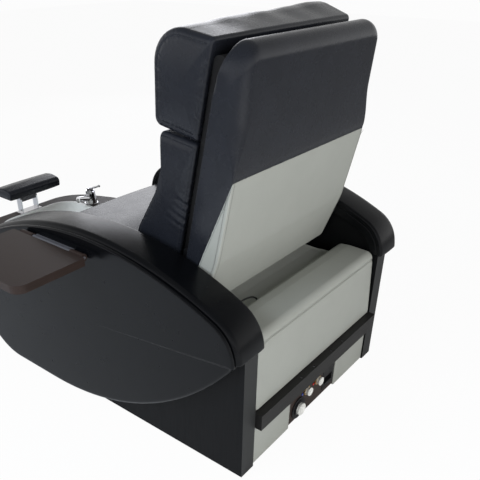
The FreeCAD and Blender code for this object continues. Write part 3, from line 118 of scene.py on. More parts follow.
def plain_finish(name, colour, roughness, spread=0.08, scale=60, depth=0.0001, metallic=0.0):
    """A moulded, painted or polished surface: its gloss varies slowly and its relief is fine."""
    finish, tree, shader = new_finish(name)
    tree.links.new(tinted(tree, noise(tree, scale, 4), colour, spread), shader.inputs["Base Color"])
    gloss = between(tree, noise(tree, scale / 8), roughness - 0.05, roughness + 0.05)
    tree.links.new(gloss, shader.inputs["Roughness"])
    tree.links.new(raised(tree, noise(tree, scale * 12), depth, 0.25), shader.inputs["Normal"])
    shader.inputs["Metallic"].default_value = metallic
    return finish


LEAD_POINTS = np.array([
    (328.9, 566, 441), (301, 561, 434), (270, 555, 429), (238, 550, 425.5),
    (208, 547, 423), (180, 547, 421.5), (156, 550, 416.5), (139, 549.5, 405),
    (130.5, 548, 395), (124.5, 546.5, 385.6),
]) * MM
LEAD_RADIUS = 2.6 * MM
lead_line = bpy.data.curves.new("rear_lead_cable", "CURVE")
lead_line.dimensions = "3D"
lead_line.bevel_depth = LEAD_RADIUS
lead_line.bevel_resolution = 5
lead_line.use_fill_caps = True
lead_spline = lead_line.splines.new("NURBS")
lead_spline.points.add(len(LEAD_POINTS) - 1)
lead_spline.points.foreach_set("co", np.c_[LEAD_POINTS, np.ones(len(LEAD_POINTS))].ravel())
lead_spline.order_u = 3
lead_spline.use_endpoint_u = True
lead_spline.resolution_u = 12
lead_jacket = plain_finish("lead_jacket", (0.004, 0.004, 0.0045), 0.6, scale=300)
lead_line.materials.append(lead_jacket)
lead = bpy.data.objects.new("rear_lead_cable", lead_line)
scene.collection.objects.link(lead)
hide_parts("rear_lead")
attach(lead, "base")

# Floor and light: a pale studio floor and a white surround that darkens overhead.
# A large soft lamp stands behind the chair, a bluish one fills its left side, and
# a weak one at the far front is the only one that the glossy vinyl mirrors.

world = bpy.data.worlds.new("studio")
scene.world = world
world.use_nodes = True
air = world.node_tree
AMBIENT = 0.5
OVERHEAD = 0.22
FADE_FROM, FADE_TO = 0.05, 0.65
SEEN_AIR = 0.975
SEEN_FLOOR = 0.955
# Strength is 1 for mirrored and refracted rays and AMBIENT for the rest, fading
# overhead, and SEEN_AIR where the camera looks past the object.
background = air.nodes["Background"]
rays = air.nodes.new("ShaderNodeLightPath")
heading = air.nodes.new("ShaderNodeTexCoord")
height = air.nodes.new("ShaderNodeSeparateXYZ")
fade = air.nodes.new("ShaderNodeMapRange")
fade.inputs["From Min"].default_value = FADE_FROM
fade.inputs["From Max"].default_value = FADE_TO
fade.inputs["To Min"].default_value = 1.0
fade.inputs["To Max"].default_value = OVERHEAD
glossy = air.nodes.new("ShaderNodeMath")
glossy.operation = "MAXIMUM"
share_lit = air.nodes.new("ShaderNodeMapRange")
share_lit.inputs["To Min"].default_value = AMBIENT
lit = air.nodes.new("ShaderNodeMath")
lit.operation = "MULTIPLY"
level = air.nodes.new("ShaderNodeMath")
level.operation = "MAXIMUM"
air.links.new(heading.outputs["Generated"], height.inputs["Vector"])
air.links.new(height.outputs["Z"], fade.inputs["Value"])
air.links.new(rays.outputs["Is Glossy Ray"], glossy.inputs[0])
air.links.new(rays.outputs["Is Transmission Ray"], glossy.inputs[1])
air.links.new(glossy.outputs[0], share_lit.inputs["Value"])
air.links.new(share_lit.outputs["Result"], lit.inputs[0])
air.links.new(fade.outputs["Result"], lit.inputs[1])
air.links.new(lit.outputs[0], level.inputs[0])
seen = air.nodes.new("ShaderNodeMath")
seen.operation = "MULTIPLY"
seen.inputs[1].default_value = SEEN_AIR
air.links.new(rays.outputs["Is Camera Ray"], seen.inputs[0])
air.links.new(seen.outputs[0], level.inputs[1])
air.links.new(level.outputs[0], background.inputs["Strength"])
background.inputs["Color"].default_value = (1, 1, 1, 1)


def soft_light(name, place, target, size, power, tint=(1, 1, 1), mirrored=False):
    """A square soft box facing a target; glossy surfaces show it only if it is mirrored."""
    lamp = bpy.data.lights.new(name, "AREA")
    lamp.size = size
    lamp.energy = power
    lamp.color = tint
    box = bpy.data.objects.new(name, lamp)
    scene.collection.objects.link(box)
    box.location = place
    box.visible_glossy = mirrored
    ahead = np.array(target) - np.array(place)
    flat = math.hypot(ahead[0], ahead[1])
    box.rotation_euler = (math.atan2(flat, -ahead[2]), 0, math.atan2(-ahead[0], ahead[1]))


soft_light("rear_key", place=(1.1, 3.5, 1.4), target=(0, 0.4, 0.6), size=2.2, power=80)
soft_light("side_fill", place=(2.5, -0.3, 2.0), target=(0.3, 0.3, 0.8), size=1.5, power=66,
           tint=(0.82, 0.90, 1.0))
soft_light("far_light", place=(-2.9, -2.7, 1.75), target=(0, 0.1, 0.5), size=2.0, power=24,
           tint=(0.93, 0.94, 1.0), mirrored=True)

FLOOR_HALF = 12.0
floor_corners = np.array([(-1, -1), (1, -1), (1, 1), (-1, 1)]) * FLOOR_HALF
floor_mesh = bpy.data.meshes.new("studio_floor")
floor_mesh.from_pydata(np.c_[floor_corners, np.full(4, -MM)].tolist(), [], [(0, 1, 2, 3)])
floor = bpy.data.objects.new("studio_floor", floor_mesh)
scene.collection.objects.link(floor)
floor_paint, floor_tree, floor_shader = new_finish("floor_paint")
floor_tree.links.new(tinted(floor_tree, noise(floor_tree, 2.0), (0.86, 0.86, 0.86), 0.01),
                     floor_shader.inputs["Base Color"])
floor_shader.inputs["Roughness"].default_value = 0.9
floor_shader.inputs["Specular IOR Level"].default_value = 0.1
glow = floor_tree.nodes.new("ShaderNodeEmission")
glow.inputs["Strength"].default_value = 1.0
floor_rays = floor_tree.nodes.new("ShaderNodeLightPath")
share = floor_tree.nodes.new("ShaderNodeMath")
share.operation = "MULTIPLY"
share.inputs[1].default_value = SEEN_FLOOR
blend_floor = floor_tree.nodes.new("ShaderNodeMixShader")
floor_tree.links.new(floor_rays.outputs["Is Camera Ray"], share.inputs[0])
floor_tree.links.new(share.outputs[0], blend_floor.inputs["Fac"])
floor_tree.links.new(floor_shader.outputs["BSDF"], blend_floor.inputs[1])
floor_tree.links.new(glow.outputs["Emission"], blend_floor.inputs[2])
floor_tree.links.new(blend_floor.outputs["Shader"],
                     floor_tree.nodes["Material Output"].inputs["Surface"])
floor_mesh.materials.append(floor_paint)

# Side boards: black laminated panels, cut straight at both ends and arched under
# the arm pads. Their faces are coloured darker than a narrow band along the rear
# edge: painted shade for the shade under the shells and arm pads.

UPRIGHT_GRAIN = (60, 60, 3)
LEVEL_GRAIN = (3, 60, 60)
# Where the lighter rear band starts in Y; the faces in front of it carry painted shade.
LIT_BAND_START = 0.6925


def laminate(name, colour, roughness, stretch=UPRIGHT_GRAIN, spread=0.22):
    """Wood-print laminate: fine streaks along one axis under a satin film."""
    finish, tree, shader = new_finish(name)
    streaks = noise(tree, 5, 6, stretch)
    tree.links.new(tinted(tree, streaks, colour, spread), shader.inputs["Base Color"])
    gloss = between(tree, streaks, roughness - 0.05, roughness + 0.07)
    tree.links.new(gloss, shader.inputs["Roughness"])
    tree.links.new(raised(tree, streaks, 0.0001, 0.3), shader.inputs["Normal"])
    shader.inputs["Specular IOR Level"].default_value = 0.16
    return finish


def beyond(tree, axis, limit):
    """1 where an object coordinate is past a limit, and 0 before it."""
    place = tree.nodes.new("ShaderNodeTexCoord")
    parts = tree.nodes.new("ShaderNodeSeparateXYZ")
    past = tree.nodes.new("ShaderNodeMath")
    past.operation = "GREATER_THAN"
    past.inputs[1].default_value = limit
    tree.links.new(place.outputs["Object"], parts.inputs["Vector"])
    tree.links.new(parts.outputs[axis], past.inputs[0])
    return past.outputs[0]


def either(tree, factor, first, second):
    """One colour or another, each a socket or a plain colour, as a factor says."""
    mix = tree.nodes.new("ShaderNodeMix")
    mix.data_type = "RGBA"
    tree.links.new(factor, mix.inputs["Factor"])
    for name, colour in (("A", first), ("B", second)):
        socket = [i for i in mix.inputs if i.name == name and i.type == "RGBA"][0]
        if isinstance(colour, tuple):
            socket.default_value = (*colour, 1)
        else:
            tree.links.new(colour, socket)
    return [o for o in mix.outputs if o.type == "RGBA"][0]


def dress(finish, *names):
    """Gives a finish to CAD nodes that are shown as they are."""
    for name in names:
        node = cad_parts[name]
        if not node.material_slots:
            node.data.materials.append(finish)
        for slot in node.material_slots:
            slot.material = finish


# Painted shade: the board faces are coloured near black for the shade that falls on the board
# sides.
board_laminate_painted_shade = laminate("board_laminate_painted_shade", (0.0028, 0.0030, 0.0036), 0.50)
board_tree = board_laminate_painted_shade.node_tree
board_colour = board_tree.nodes["Principled BSDF"].inputs["Base Color"]
# Painted light: a lighter band along the rear edge, where the rear lamp falls.
lit_band_streaks = noise(board_tree, 5, 6, UPRIGHT_GRAIN)
painted_lit_band = tinted(board_tree, lit_band_streaks, (0.030, 0.031, 0.031), 0.2)
on_painted_lit_band = beyond(board_tree, "Y", LIT_BAND_START)
board_face_painted_shade = either(board_tree, on_painted_lit_band, board_colour.links[0].from_socket, painted_lit_band)
board_tree.links.new(board_face_painted_shade, board_colour)
dress(board_laminate_painted_shade, "side_board_left", "side_board_right")

# Arm pads: foam on a bent board, covered in black vinyl. Each is a band with
# rounded upper edges, boxed sides and a welt, arched from end to end.

ARM_MIDDLE = 207
ARM_BASE = 400
TIP_REACH = 380
TIP_RADIUS = 120
ARM_REACH = TIP_REACH + TIP_RADIUS
ARCH_ANGLE = math.radians(25)
ARM_RADIUS = (ARM_REACH - TIP_RADIUS * (1 - math.sin(ARCH_ANGLE))) / math.sin(ARCH_ANGLE)


def arch(offset, share):
    """Points and outward directions on the arm's arch, three tangent arcs, at shares of its run."""
    tip = TIP_RADIUS * (math.pi / 2 - ARCH_ANGLE)
    top = ARM_RADIUS * 2 * ARCH_ANGLE
    run = share * (2 * tip + top)
    corners = [0, math.pi / 2 - ARCH_ANGLE, math.pi / 2 + ARCH_ANGLE, math.pi]
    turn = np.interp(run, [0, tip, tip + top, 2 * tip + top], corners)
    on_top = (run >= tip) & (run <= tip + top)
    radius = np.where(on_top, ARM_RADIUS, TIP_RADIUS) + offset
    middle_y = ARM_MIDDLE + np.where(run < tip, TIP_REACH, np.where(on_top, 0, -TIP_REACH))
    middle_z = ARM_BASE + np.where(on_top, (TIP_RADIUS - ARM_RADIUS) * math.cos(ARCH_ANGLE), 0)
    out = np.stack([np.cos(turn), np.sin(turn)], axis=-1)
    return np.stack([middle_y, middle_z], axis=-1) + radius[:, None] * out, out


def on_arch(sign, across, depth, shares):
    """Points beside the arch at shares of its run: out from its line by a depth, and across it."""
    centre, out = arch(0, shares)
    grid = np.empty((*depth.shape, 3))
    grid[..., 0] = sign * across
    grid[..., 1] = centre[:, 0, None] + depth * out[:, 0, None]
    grid[..., 2] = centre[:, 1, None] + depth * out[:, 1, None]
    return grid


def towards(middle, ring, share):
    """A ring drawn in towards a middle point, to a share of its size."""
    return middle + (ring - middle) * share


def rounded_outline(corners, count):
    """Evenly spaced points round a closed outline, each corner turned by a tangent arc."""
    corners = np.array(corners, dtype=float)
    here = corners[:, :2]
    back = np.roll(here, 1, axis=0) - here
    ahead = np.roll(here, -1, axis=0) - here
    back /= np.linalg.norm(back, axis=1)[:, None]
    ahead /= np.linalg.norm(ahead, axis=1)[:, None]
    half = np.arccos(np.clip((back * ahead).sum(axis=1), -1, 1)) / 2
    middle = back + ahead
    middle /= np.linalg.norm(middle, axis=1)[:, None]
    centre = here + middle * (corners[:, 2] / np.sin(half))[:, None]
    start = here + back * (corners[:, 2] / np.tan(half))[:, None] - centre
    end = here + ahead * (corners[:, 2] / np.tan(half))[:, None] - centre
    first = np.arctan2(start[:, 1], start[:, 0])
    sweep = (np.arctan2(end[:, 1], end[:, 0]) - first + np.pi) % (2 * np.pi) - np.pi
    step = np.linspace(0, 1, 13)
    turn = first[:, None] + sweep[:, None] * step
    radius = corners[:, 2][:, None, None]
    arcs = centre[:, None] + radius * np.stack([np.cos(turn), np.sin(turn)], axis=-1)
    path = arcs.reshape(-1, 2)
    path = np.vstack([path, path[:1]])
    run = np.r_[0, np.cumsum(np.linalg.norm(np.diff(path, axis=0), axis=1))]
    at = np.linspace(0, run[-1], count, endpoint=False)
    return np.stack([np.interp(at, run, path[:, 0]), np.interp(at, run, path[:, 1])], axis=-1)


def outward(grid):
    """Unit directions square to a grid of points whose columns wrap round."""
    across = np.roll(grid, -1, axis=1) - np.roll(grid, 1, axis=1)
    along = np.gradient(grid, axis=0)
    out = np.cross(across, along)
    size = np.linalg.norm(out, axis=-1, keepdims=True)
    out = out / np.maximum(size, 1e-12)
    facing = (out * (grid - grid.mean(axis=(0, 1)))).sum()
    return out if facing > 0 else -out


def grid_faces(rows, columns, first=0):
    """Four-cornered faces of a grid whose columns wrap round, its points numbered from first."""
    own = first + np.arange(rows * columns).reshape(rows, columns)
    beside = np.roll(own, -1, axis=1)
    return np.stack([own[:-1], beside[:-1], beside[1:], own[1:]], axis=-1).reshape(-1, 4)


WELD = 2e-6


def skin(name, grids, finish, body, replaced=()):
    """A smooth piece on a body, from one or more grids in millimetres whose columns wrap round."""
    points, quads, count = [], [], 0
    for grid in grids if isinstance(grids, list) else [grids]:
        quads.append(grid_faces(*grid.shape[:2], first=count))
        points.append(grid.reshape(-1, 3))
        count += len(points[-1])
    mesh = bpy.data.meshes.new(name)
    mesh.from_pydata((np.concatenate(points) * MM).tolist(), [], np.concatenate(quads).tolist())
    return finish_piece(name, mesh, finish, body, replaced)


def finish_piece(name, mesh, finish, body, replaced=()):
    form = bmesh.new()
    form.from_mesh(mesh)
    bmesh.ops.remove_doubles(form, verts=form.verts, dist=WELD)
    bmesh.ops.recalc_face_normals(form, faces=form.faces)
    form.to_mesh(mesh)
    form.free()
    mesh.shade_smooth()
    mesh.materials.append(finish)
    piece = bpy.data.objects.new(name, mesh)
    scene.collection.objects.link(piece)
    if replaced:
        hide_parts(*replaced)
    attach(piece, body)
    return piece


PEBBLES = 820


def vinyl(name, colour, roughness, grain, spread, gloss=0.3, swell=0.002):
    """Leathercloth: pebbled cells of about a millimetre, with uneven gloss and slow swells."""
    finish, tree, shader = new_finish(name)
    place = tree.nodes.new("ShaderNodeTexCoord")
    cells = tree.nodes.new("ShaderNodeTexVoronoi")
    cells.inputs["Scale"].default_value = PEBBLES
    tree.links.new(place.outputs["Object"], cells.inputs["Vector"])
    uneven = raised(tree, noise(tree, 9, 2), swell, 0.35)
    pebbled = raised(tree, cells.outputs["Distance"], grain, 0.5, uneven)
    tree.links.new(pebbled, shader.inputs["Normal"])
    tree.links.new(tinted(tree, noise(tree, 14, 5), colour, spread), shader.inputs["Base Color"])
    sheen = between(tree, noise(tree, 30, 4), roughness - 0.02, roughness + 0.025)
    tree.links.new(sheen, shader.inputs["Roughness"])
    shader.inputs["Specular IOR Level"].default_value = gloss
    return finish


def smooth_end(run, radius):
    """How far an outline draws in over a quarter round, at a distance from the end."""
    rest = np.clip(radius - run, 0, radius)
    return radius - np.sqrt(radius ** 2 - rest ** 2)


# Painted shade: the arm pads, welts and side shells take a copy of the black vinyl coloured several
# times darker, for the shade on the chair's lower sides.
arm_vinyl_painted_shade = vinyl("arm_vinyl_painted_shade", (0.0022, 0.0025, 0.0032), 0.25,
                  grain=0.00009, spread=0.10, gloss=0.20, swell=0.0009)
black_vinyl = vinyl("black_vinyl", (0.0125, 0.0140, 0.0185), 0.27,
                    grain=0.00009, spread=0.10, gloss=0.34, swell=0.0009)
PAD_INNER = 321
PAD_WIDTH = 109
PAD_THICK = 46
PAD_ROUND = 15
PAD_FOOT_ROUND = 3
PAD_CROWN = 2.0
PAD_SEAM = 19.0
SEAM_DEPTH = 1.1
SEAM_WIDTH = 1.3
PAD_END_ROUND = 6
PAD_RUN = 1161.5
end_steps = np.array([0, 0.6, 1.8, 3.6, 6])
even_steps = np.linspace(10, PAD_RUN - 10, 128)
pad_stations = np.r_[end_steps, even_steps, PAD_RUN - end_steps[::-1]] / PAD_RUN


def arm_pad_grid(sign):
    """The band's rounded section carried along the arch, drawn in and closed at both ends."""
    section = rounded_outline([
        (0, -PAD_THICK, PAD_FOOT_ROUND), (0, 0, PAD_ROUND / 2), (PAD_WIDTH, 0, PAD_ROUND),
        (PAD_WIDTH, -PAD_THICK, PAD_FOOT_ROUND)], 230)
    across, depth = section[:, 0], section[:, 1]
    off_middle = (across - PAD_WIDTH / 2) / (PAD_WIDTH / 2)
    crown = PAD_CROWN * np.clip(1 - off_middle ** 2, 0, 1) * (depth > -8)
    on_side = (across < 1) | (across > PAD_WIDTH - 1)
    groove = SEAM_DEPTH * np.exp(-((depth + PAD_SEAM) / SEAM_WIDTH) ** 2) * on_side
    across = across + np.where(across < PAD_WIDTH / 2, groove, -groove)
    depth = depth + crown
    run = np.minimum(pad_stations, 1 - pad_stations) * PAD_RUN
    inset = smooth_end(run, PAD_END_ROUND)[:, None]
    across = towards(PAD_WIDTH / 2, across, 1 - inset / (PAD_WIDTH / 2))
    depth = towards(-PAD_THICK / 2, depth, 1 - inset / (PAD_THICK / 2))
    grid = on_arch(sign, PAD_INNER + across, depth, pad_stations)
    shares = np.array([0, 0.35, 0.7, 0.9])[:, None, None]
    first, last = (towards(row.mean(axis=0), row, shares) for row in (grid[0], grid[-1]))
    return np.concatenate([first, grid, last[::-1]])


WELT_RADIUS = 1.7
WELT_PROUD = 0.6
WELT_END = 0.004


def welt_grid(sign, across, depth, radius):
    """A thin round welt carried along the arch beside the pad's edge, thinning at both ends."""
    shares = np.linspace(WELT_END, 1 - WELT_END, 160)
    turn = np.linspace(0, 2 * np.pi, 10, endpoint=False)
    size = radius * np.sqrt(np.clip(np.minimum(shares, 1 - shares) / WELT_END, 0, 1))[:, None]
    size[0] = size[-1] = 0
    return on_arch(sign, across + size * np.sin(turn), depth + size * np.cos(turn), shares)


for side, sign in (("left", 1), ("right", -1)):
    skin(f"arm_pad_{side}_cover", arm_pad_grid(sign), arm_vinyl_painted_shade, "base",
         [f"arm_pad_{side}"])
    for edge, across in (("inner", PAD_INNER + WELT_PROUD),
                         ("outer", PAD_INNER + PAD_WIDTH - WELT_PROUD)):
        skin(f"arm_welt_{side}_{edge}", welt_grid(sign, across, -PAD_SEAM, WELT_RADIUS), arm_vinyl_painted_shade,
             "base")

# Side shells: padded leaves of black vinyl outside the boards. Their outer
# edge is well rounded, and a thin lip of them stands beside the arm pad.

SHELL_INNER = 385.2
SHELL_OUTER = 442
LIP_INNER = 430.6
LIP_DROP = 8
LIP_GAP = 0.6
SHELL_FOOT = 32
NOSE_Y, NOSE_Z = -383, 202
NOSE_RADIUS = 170
BOW_DEPTH, BOW_RISE = 98, 198
SWEEP_START = -27.2
SWEEP_RADIUS = 900
SWEEP_REACH = 726
FACE_SWELL = 1.6
LEAF_MIDDLE = np.array([150, 330])


def arc_points(centre, radius, turn):
    """Points at a radius from a centre, in the directions of a column of angles."""
    return np.hstack([centre[0] + radius * np.cos(turn), centre[1] + radius * np.sin(turn)])


def shell_outline():
    """The leaf's outline, its outward directions, and 1 where a point is under the pad.

    It runs over the arch, down a bow to the nose, round the corner, along the
    foot and up a long sweep to the rear."""
    top, _ = arch(-LIP_DROP, np.linspace(0, 1, 180))
    turn = np.linspace(0, 1, 40)[1:, None]
    bow_radius = (BOW_DEPTH ** 2 + BOW_RISE ** 2) / (2 * BOW_DEPTH)
    bow_angle = math.asin(BOW_RISE / bow_radius)
    bow = arc_points((NOSE_Y + bow_radius, NOSE_Z), bow_radius, math.pi - bow_angle * (1 - turn))
    corner = arc_points((NOSE_Y + NOSE_RADIUS, NOSE_Z), NOSE_RADIUS, math.pi * (1 + turn / 2))
    foot_start = NOSE_Y + NOSE_RADIUS
    foot_run = np.array([[SWEEP_START - foot_start, 0]])
    foot = np.linspace(0, 1, 26)[1:, None] * foot_run + np.array([[foot_start, SHELL_FOOT]])
    sweep_angle = math.asin(SWEEP_REACH / SWEEP_RADIUS)
    sweep_turn = -math.pi / 2 + sweep_angle * np.linspace(0, 1, 120)[1:-1, None]
    sweep = arc_points((SWEEP_START, SHELL_FOOT + SWEEP_RADIUS), SWEEP_RADIUS, sweep_turn)
    path = np.vstack([top, bow, corner, foot, sweep])
    under = np.r_[np.ones(len(top)), np.zeros(len(path) - len(top))]
    tangent = np.roll(path, -1, axis=0) - np.roll(path, 1, axis=0)
    out = np.stack([-tangent[:, 1], tangent[:, 0]], axis=-1)
    out /= np.linalg.norm(out, axis=1)[:, None]
    if ((path - path.mean(axis=0)) * out).sum() < 0:
        out = -out
    return path, out, under


def shell_grid(sign):
    """A profile of thickness against inset, carried round the leaf and closed on both faces.

    Under the pad the profile steps out to the lip, and elsewhere it is a full rounded edge."""
    path, out, under = shell_outline()
    turn = np.linspace(0, np.pi / 2, 9)
    lip_round, edge_round = 5.6, 13.0
    pad_foot = PAD_THICK - LIP_DROP + LIP_GAP
    lip_x = np.r_[SHELL_INNER, LIP_INNER, LIP_INNER, LIP_INNER + lip_round * (1 - np.cos(turn)),
                  SHELL_OUTER - lip_round + lip_round * np.sin(turn)]
    lip_in = np.r_[pad_foot, pad_foot, 20, lip_round * (1 - np.sin(turn)),
                   lip_round * (1 - np.cos(turn))]
    edge_x = np.r_[SHELL_INNER, SHELL_INNER + 12, LIP_INNER - 20,
                   SHELL_INNER + np.linspace(18, 40, 9),
                   SHELL_OUTER - edge_round + edge_round * np.sin(turn)]
    edge_in = np.r_[3, 0, 0, np.zeros(9), edge_round * (1 - np.cos(turn))]
    x = np.where(under[:, None] > 0.5, lip_x, edge_x)
    inset = np.where(under[:, None] > 0.5, lip_in, edge_in)
    yz = path[:, None] - out[:, None] * inset[..., None]
    rows = np.concatenate([x[..., None], yz], axis=-1).transpose(1, 0, 2)
    face = []
    for share in 1 - np.linspace(0, 1, 22)[1:] ** 1.2:
        ring = towards(LEAF_MIDDLE, rows[-1][:, 1:], share)
        face.append(np.c_[np.full(len(ring), SHELL_OUTER + FACE_SWELL * (1 - share ** 4)), ring])
    back = []
    for share in (0, 0.5):
        ring = towards(LEAF_MIDDLE, rows[0][:, 1:], share)
        back.append(np.c_[np.full(len(ring), SHELL_INNER), ring])
    grid = np.concatenate([np.array(back), rows, np.array(face)])
    grid[..., 0] *= sign
    return grid


for side, sign in (("left", 1), ("right", -1)):
    skin(f"side_shell_{side}_cover", shell_grid(sign), arm_vinyl_painted_shade, "base",
         [f"side_shell_{side}"])

# Cushions: foam blocks in sewn covers. The main panel wraps round the block
# and a boxed panel closes each end, with its seam just inside the edge.


def shrunk(outline, inset):
    """An outline drawn in towards its middle by an inset."""
    low, high = outline.min(axis=0), outline.max(axis=0)
    middle = (low + high) / 2
    return middle + (outline - middle) * (1 - 2 * inset / (high - low))


def both_ends(rows):
    """Rows from the middle to one end, mirrored so that they reach from end to end."""
    right = np.array(rows)
    left = right[:0:-1].copy()
    left[..., 0] *= -1
    return np.concatenate([left, right])


def end_panel(rim, start, puff, power, count):
    """Rings that close a rim on its middle, puffed out by one less a power of their share."""
    middle = rim[:, 1:].mean(axis=0)
    return [np.c_[np.full(len(rim), start + puff * (1 - share ** power)),
                  towards(middle, rim[:, 1:], share)] for share in np.linspace(1, 0, count)[1:]]


def cushion_grid(outline, half, crown, edge, puff, body_rows=56, seam=1.2):
    """An outline carried from end to end: it swells to the middle, turns in over a
    quarter round at the ends, dips at the seam and closes with a puffed panel."""
    turn = np.linspace(0, np.pi / 2, 10)
    end_x = half - edge + edge * np.sin(turn)
    end_in = crown + edge * (1 - np.cos(turn))
    body_x = np.linspace(0, half - edge, body_rows // 2, endpoint=False)
    body_in = crown * (body_x / (half - edge)) ** 2.4
    seam_x = half + np.array([-0.2, -seam, -0.4, 0.5])
    seam_in = crown + edge + np.array([0.6, 1.8, 3.2, 5.0])
    x = np.r_[body_x, end_x, seam_x]
    inset = np.r_[body_in, end_in, seam_in]
    rows = [np.c_[np.full(len(outline), at), shrunk(outline, depth)]
            for at, depth in zip(x, inset)]
    return both_ends(rows + end_panel(rows[-1], half + 0.5, puff, 2, 15))


BACK_START = 328
LEAN = math.tan(math.radians(12.2))


def back_line(z, ahead=0.0):
    """Depth of the back's leaning frame plane at a height, or of a plane ahead of it."""
    return BACK_START + LEAN * z - ahead


BOARD_DEPTH = 34.3
HEAD_FOOT = 858
HEAD_TOP = 1106
head_front = back_line(HEAD_FOOT, BOARD_DEPTH + 136)
headrest_outline = rounded_outline([
    (back_line(HEAD_FOOT, BOARD_DEPTH), HEAD_FOOT - 7, 7),
    (back_line(HEAD_TOP - 31, BOARD_DEPTH) + 1, HEAD_TOP - 31, 9),
    (head_front + 9, HEAD_TOP + 4, 82),
    (head_front - 1, HEAD_FOOT + 16, 20),
], 340)
TOP_LIFT, TOP_SLANT = 5.5, 0.036
SEAM_ROW = 17  # rows from a cushion's pole to the dip of its end seam
PANEL_ROW = 14  # rows from that pole to the first ring of the end panel


def uneven_top(grid, foot, top):
    """Stuffing that sits higher at one end: the top rises on a slant with two slow swells."""
    share = np.clip((grid[..., 2] - foot) / (top - foot), 0, 1) ** 3
    share *= np.clip((back_line(grid[..., 2], BOARD_DEPTH) + 4 - grid[..., 1]) / 80, 0, 1) ** 0.8
    x = grid[..., 0]
    slow = 1.6 * np.sin(x * 2 * np.pi / 300)
    rise = TOP_LIFT - TOP_SLANT * x + slow + 0.8 * np.sin(x * 2 * np.pi / 117 + 1)
    lifted = grid.copy()
    lifted[..., 2] += share * rise
    return lifted


def puckered(grid, pitch, depth, reach):
    """Gathers at both end seams: ripples along the seam that fade over a reach to either side."""
    steps = np.linalg.norm(np.diff(grid, axis=0), axis=-1)
    run = np.vstack([np.zeros((1, grid.shape[1])), np.cumsum(steps, axis=0)])
    around = np.linalg.norm(grid[SEAM_ROW] - np.roll(grid[SEAM_ROW], 1, axis=0), axis=-1).cumsum()
    fade = sum(np.exp(-((run - run[row]) / reach) ** 2) for row in (SEAM_ROW - 1, -SEAM_ROW))
    strength = np.sin(around * 2 * np.pi / (pitch * 5.3) + 1) ** 2
    ripple = np.sin(around * 2 * np.pi / pitch) * strength
    return grid + outward(grid) * (depth * fade * ripple)[..., None]


headrest = cushion_grid(headrest_outline, half=297, crown=1.5, edge=14, puff=5)
headrest = puckered(uneven_top(headrest, HEAD_FOOT, HEAD_TOP), pitch=15, depth=0.5, reach=11)
skin("headrest_cover", headrest, black_vinyl, "back", ["headrest_cushion"])


def stitches(paths, pitch=4.4, length=3.2, radius=0.42):
    """Spindles of thread along paths: one every pitch, its rings an ellipse's widths."""
    grids = []
    share = np.array([-1, -0.75, 0, 0.75, 1])
    width = radius * np.sqrt(1 - share ** 2)
    turn = np.linspace(0, 2 * np.pi, 6, endpoint=False)
    for path in paths:
        run = np.r_[0, np.cumsum(np.linalg.norm(np.diff(path, axis=0), axis=1))]
        at = np.arange(pitch / 2, run[-1], pitch)
        spots = np.stack([[np.interp(at + step, run, path[:, axis]) for axis in range(3)]
                          for step in (-1, 0, 1)])
        ahead = (spots[2] - spots[0]).T
        ahead /= np.linalg.norm(ahead, axis=1)[:, None] + 1e-9
        side = np.cross(ahead, np.array([0.37, 0.51, 0.77]))
        side /= np.linalg.norm(side, axis=1)[:, None]
        above = np.cross(ahead, side)
        ring = (side[:, None, None] * np.cos(turn)[:, None]
                + above[:, None, None] * np.sin(turn)[:, None])
        along = ahead[:, None, None] * (share * length / 2)[:, None, None]
        grids += list(spots[1].T[:, None, None] + along + ring * width[:, None, None])
    return grids


def closed(ring):
    """A ring of points with its first point again at its end."""
    return np.vstack([ring, ring[:1]])


def end_seams(cushion):
    """The rings of a cushion where its end panels are sewn on."""
    return [closed(cushion[PANEL_ROW - 1]), closed(cushion[-PANEL_ROW])]


black_thread = plain_finish("black_thread", (0.030, 0.031, 0.034), 0.6, scale=400)
skin("headrest_stitching", stitches(end_seams(headrest)), black_thread, "back")

LUMBAR_FOOT = 455
LUMBAR_TOP = 853
lumbar_outline = rounded_outline([
    (back_line(LUMBAR_FOOT, BOARD_DEPTH), LUMBAR_FOOT, 8),
    (back_line(LUMBAR_TOP - 3, BOARD_DEPTH) + 2, LUMBAR_TOP - 3, 9),
    (364, LUMBAR_TOP + 13, 9),
    (364, 790, 90),
    (338, 712, 130),
    (262, 592, 110),
    (232, LUMBAR_FOOT + 30, 50),
    (243, LUMBAR_FOOT, 14),
], 320)


def creased(grid, half, middle_z, spread, depth):
    """Slanting creases across an end panel, strongest near a height and near the panel's rear."""
    side = np.clip((np.abs(grid[..., 0]) - half + 14) / 14, 0, 1)
    slant = grid[..., 2] + 0.5 * grid[..., 1]
    fade = np.exp(-((grid[..., 2] - middle_z) / spread) ** 2) * side
    rows = np.sin(slant * 2 * np.pi / 23) + 0.6 * np.sin(slant * 2 * np.pi / 37 + 0.8)
    rear = np.clip((grid[..., 1] - back_line(grid[..., 2], BOARD_DEPTH) + 80) / 80, 0, 1)
    lifted = grid.copy()
    lifted[..., 0] += np.sign(grid[..., 0]) * depth * fade * rear * rows
    return lifted


LUMBAR_HALF = 296
lumbar = cushion_grid(lumbar_outline, LUMBAR_HALF, crown=1.5, edge=9, puff=5)
lumbar = puckered(lumbar, pitch=21, depth=0.5, reach=12)
lumbar = creased(lumbar, LUMBAR_HALF, middle_z=700, spread=70, depth=1.4)
skin("lumbar_cover", lumbar, black_vinyl, "back", ["lumbar_cushion"])
skin("lumbar_stitching", stitches(end_seams(lumbar)), black_thread, "back")

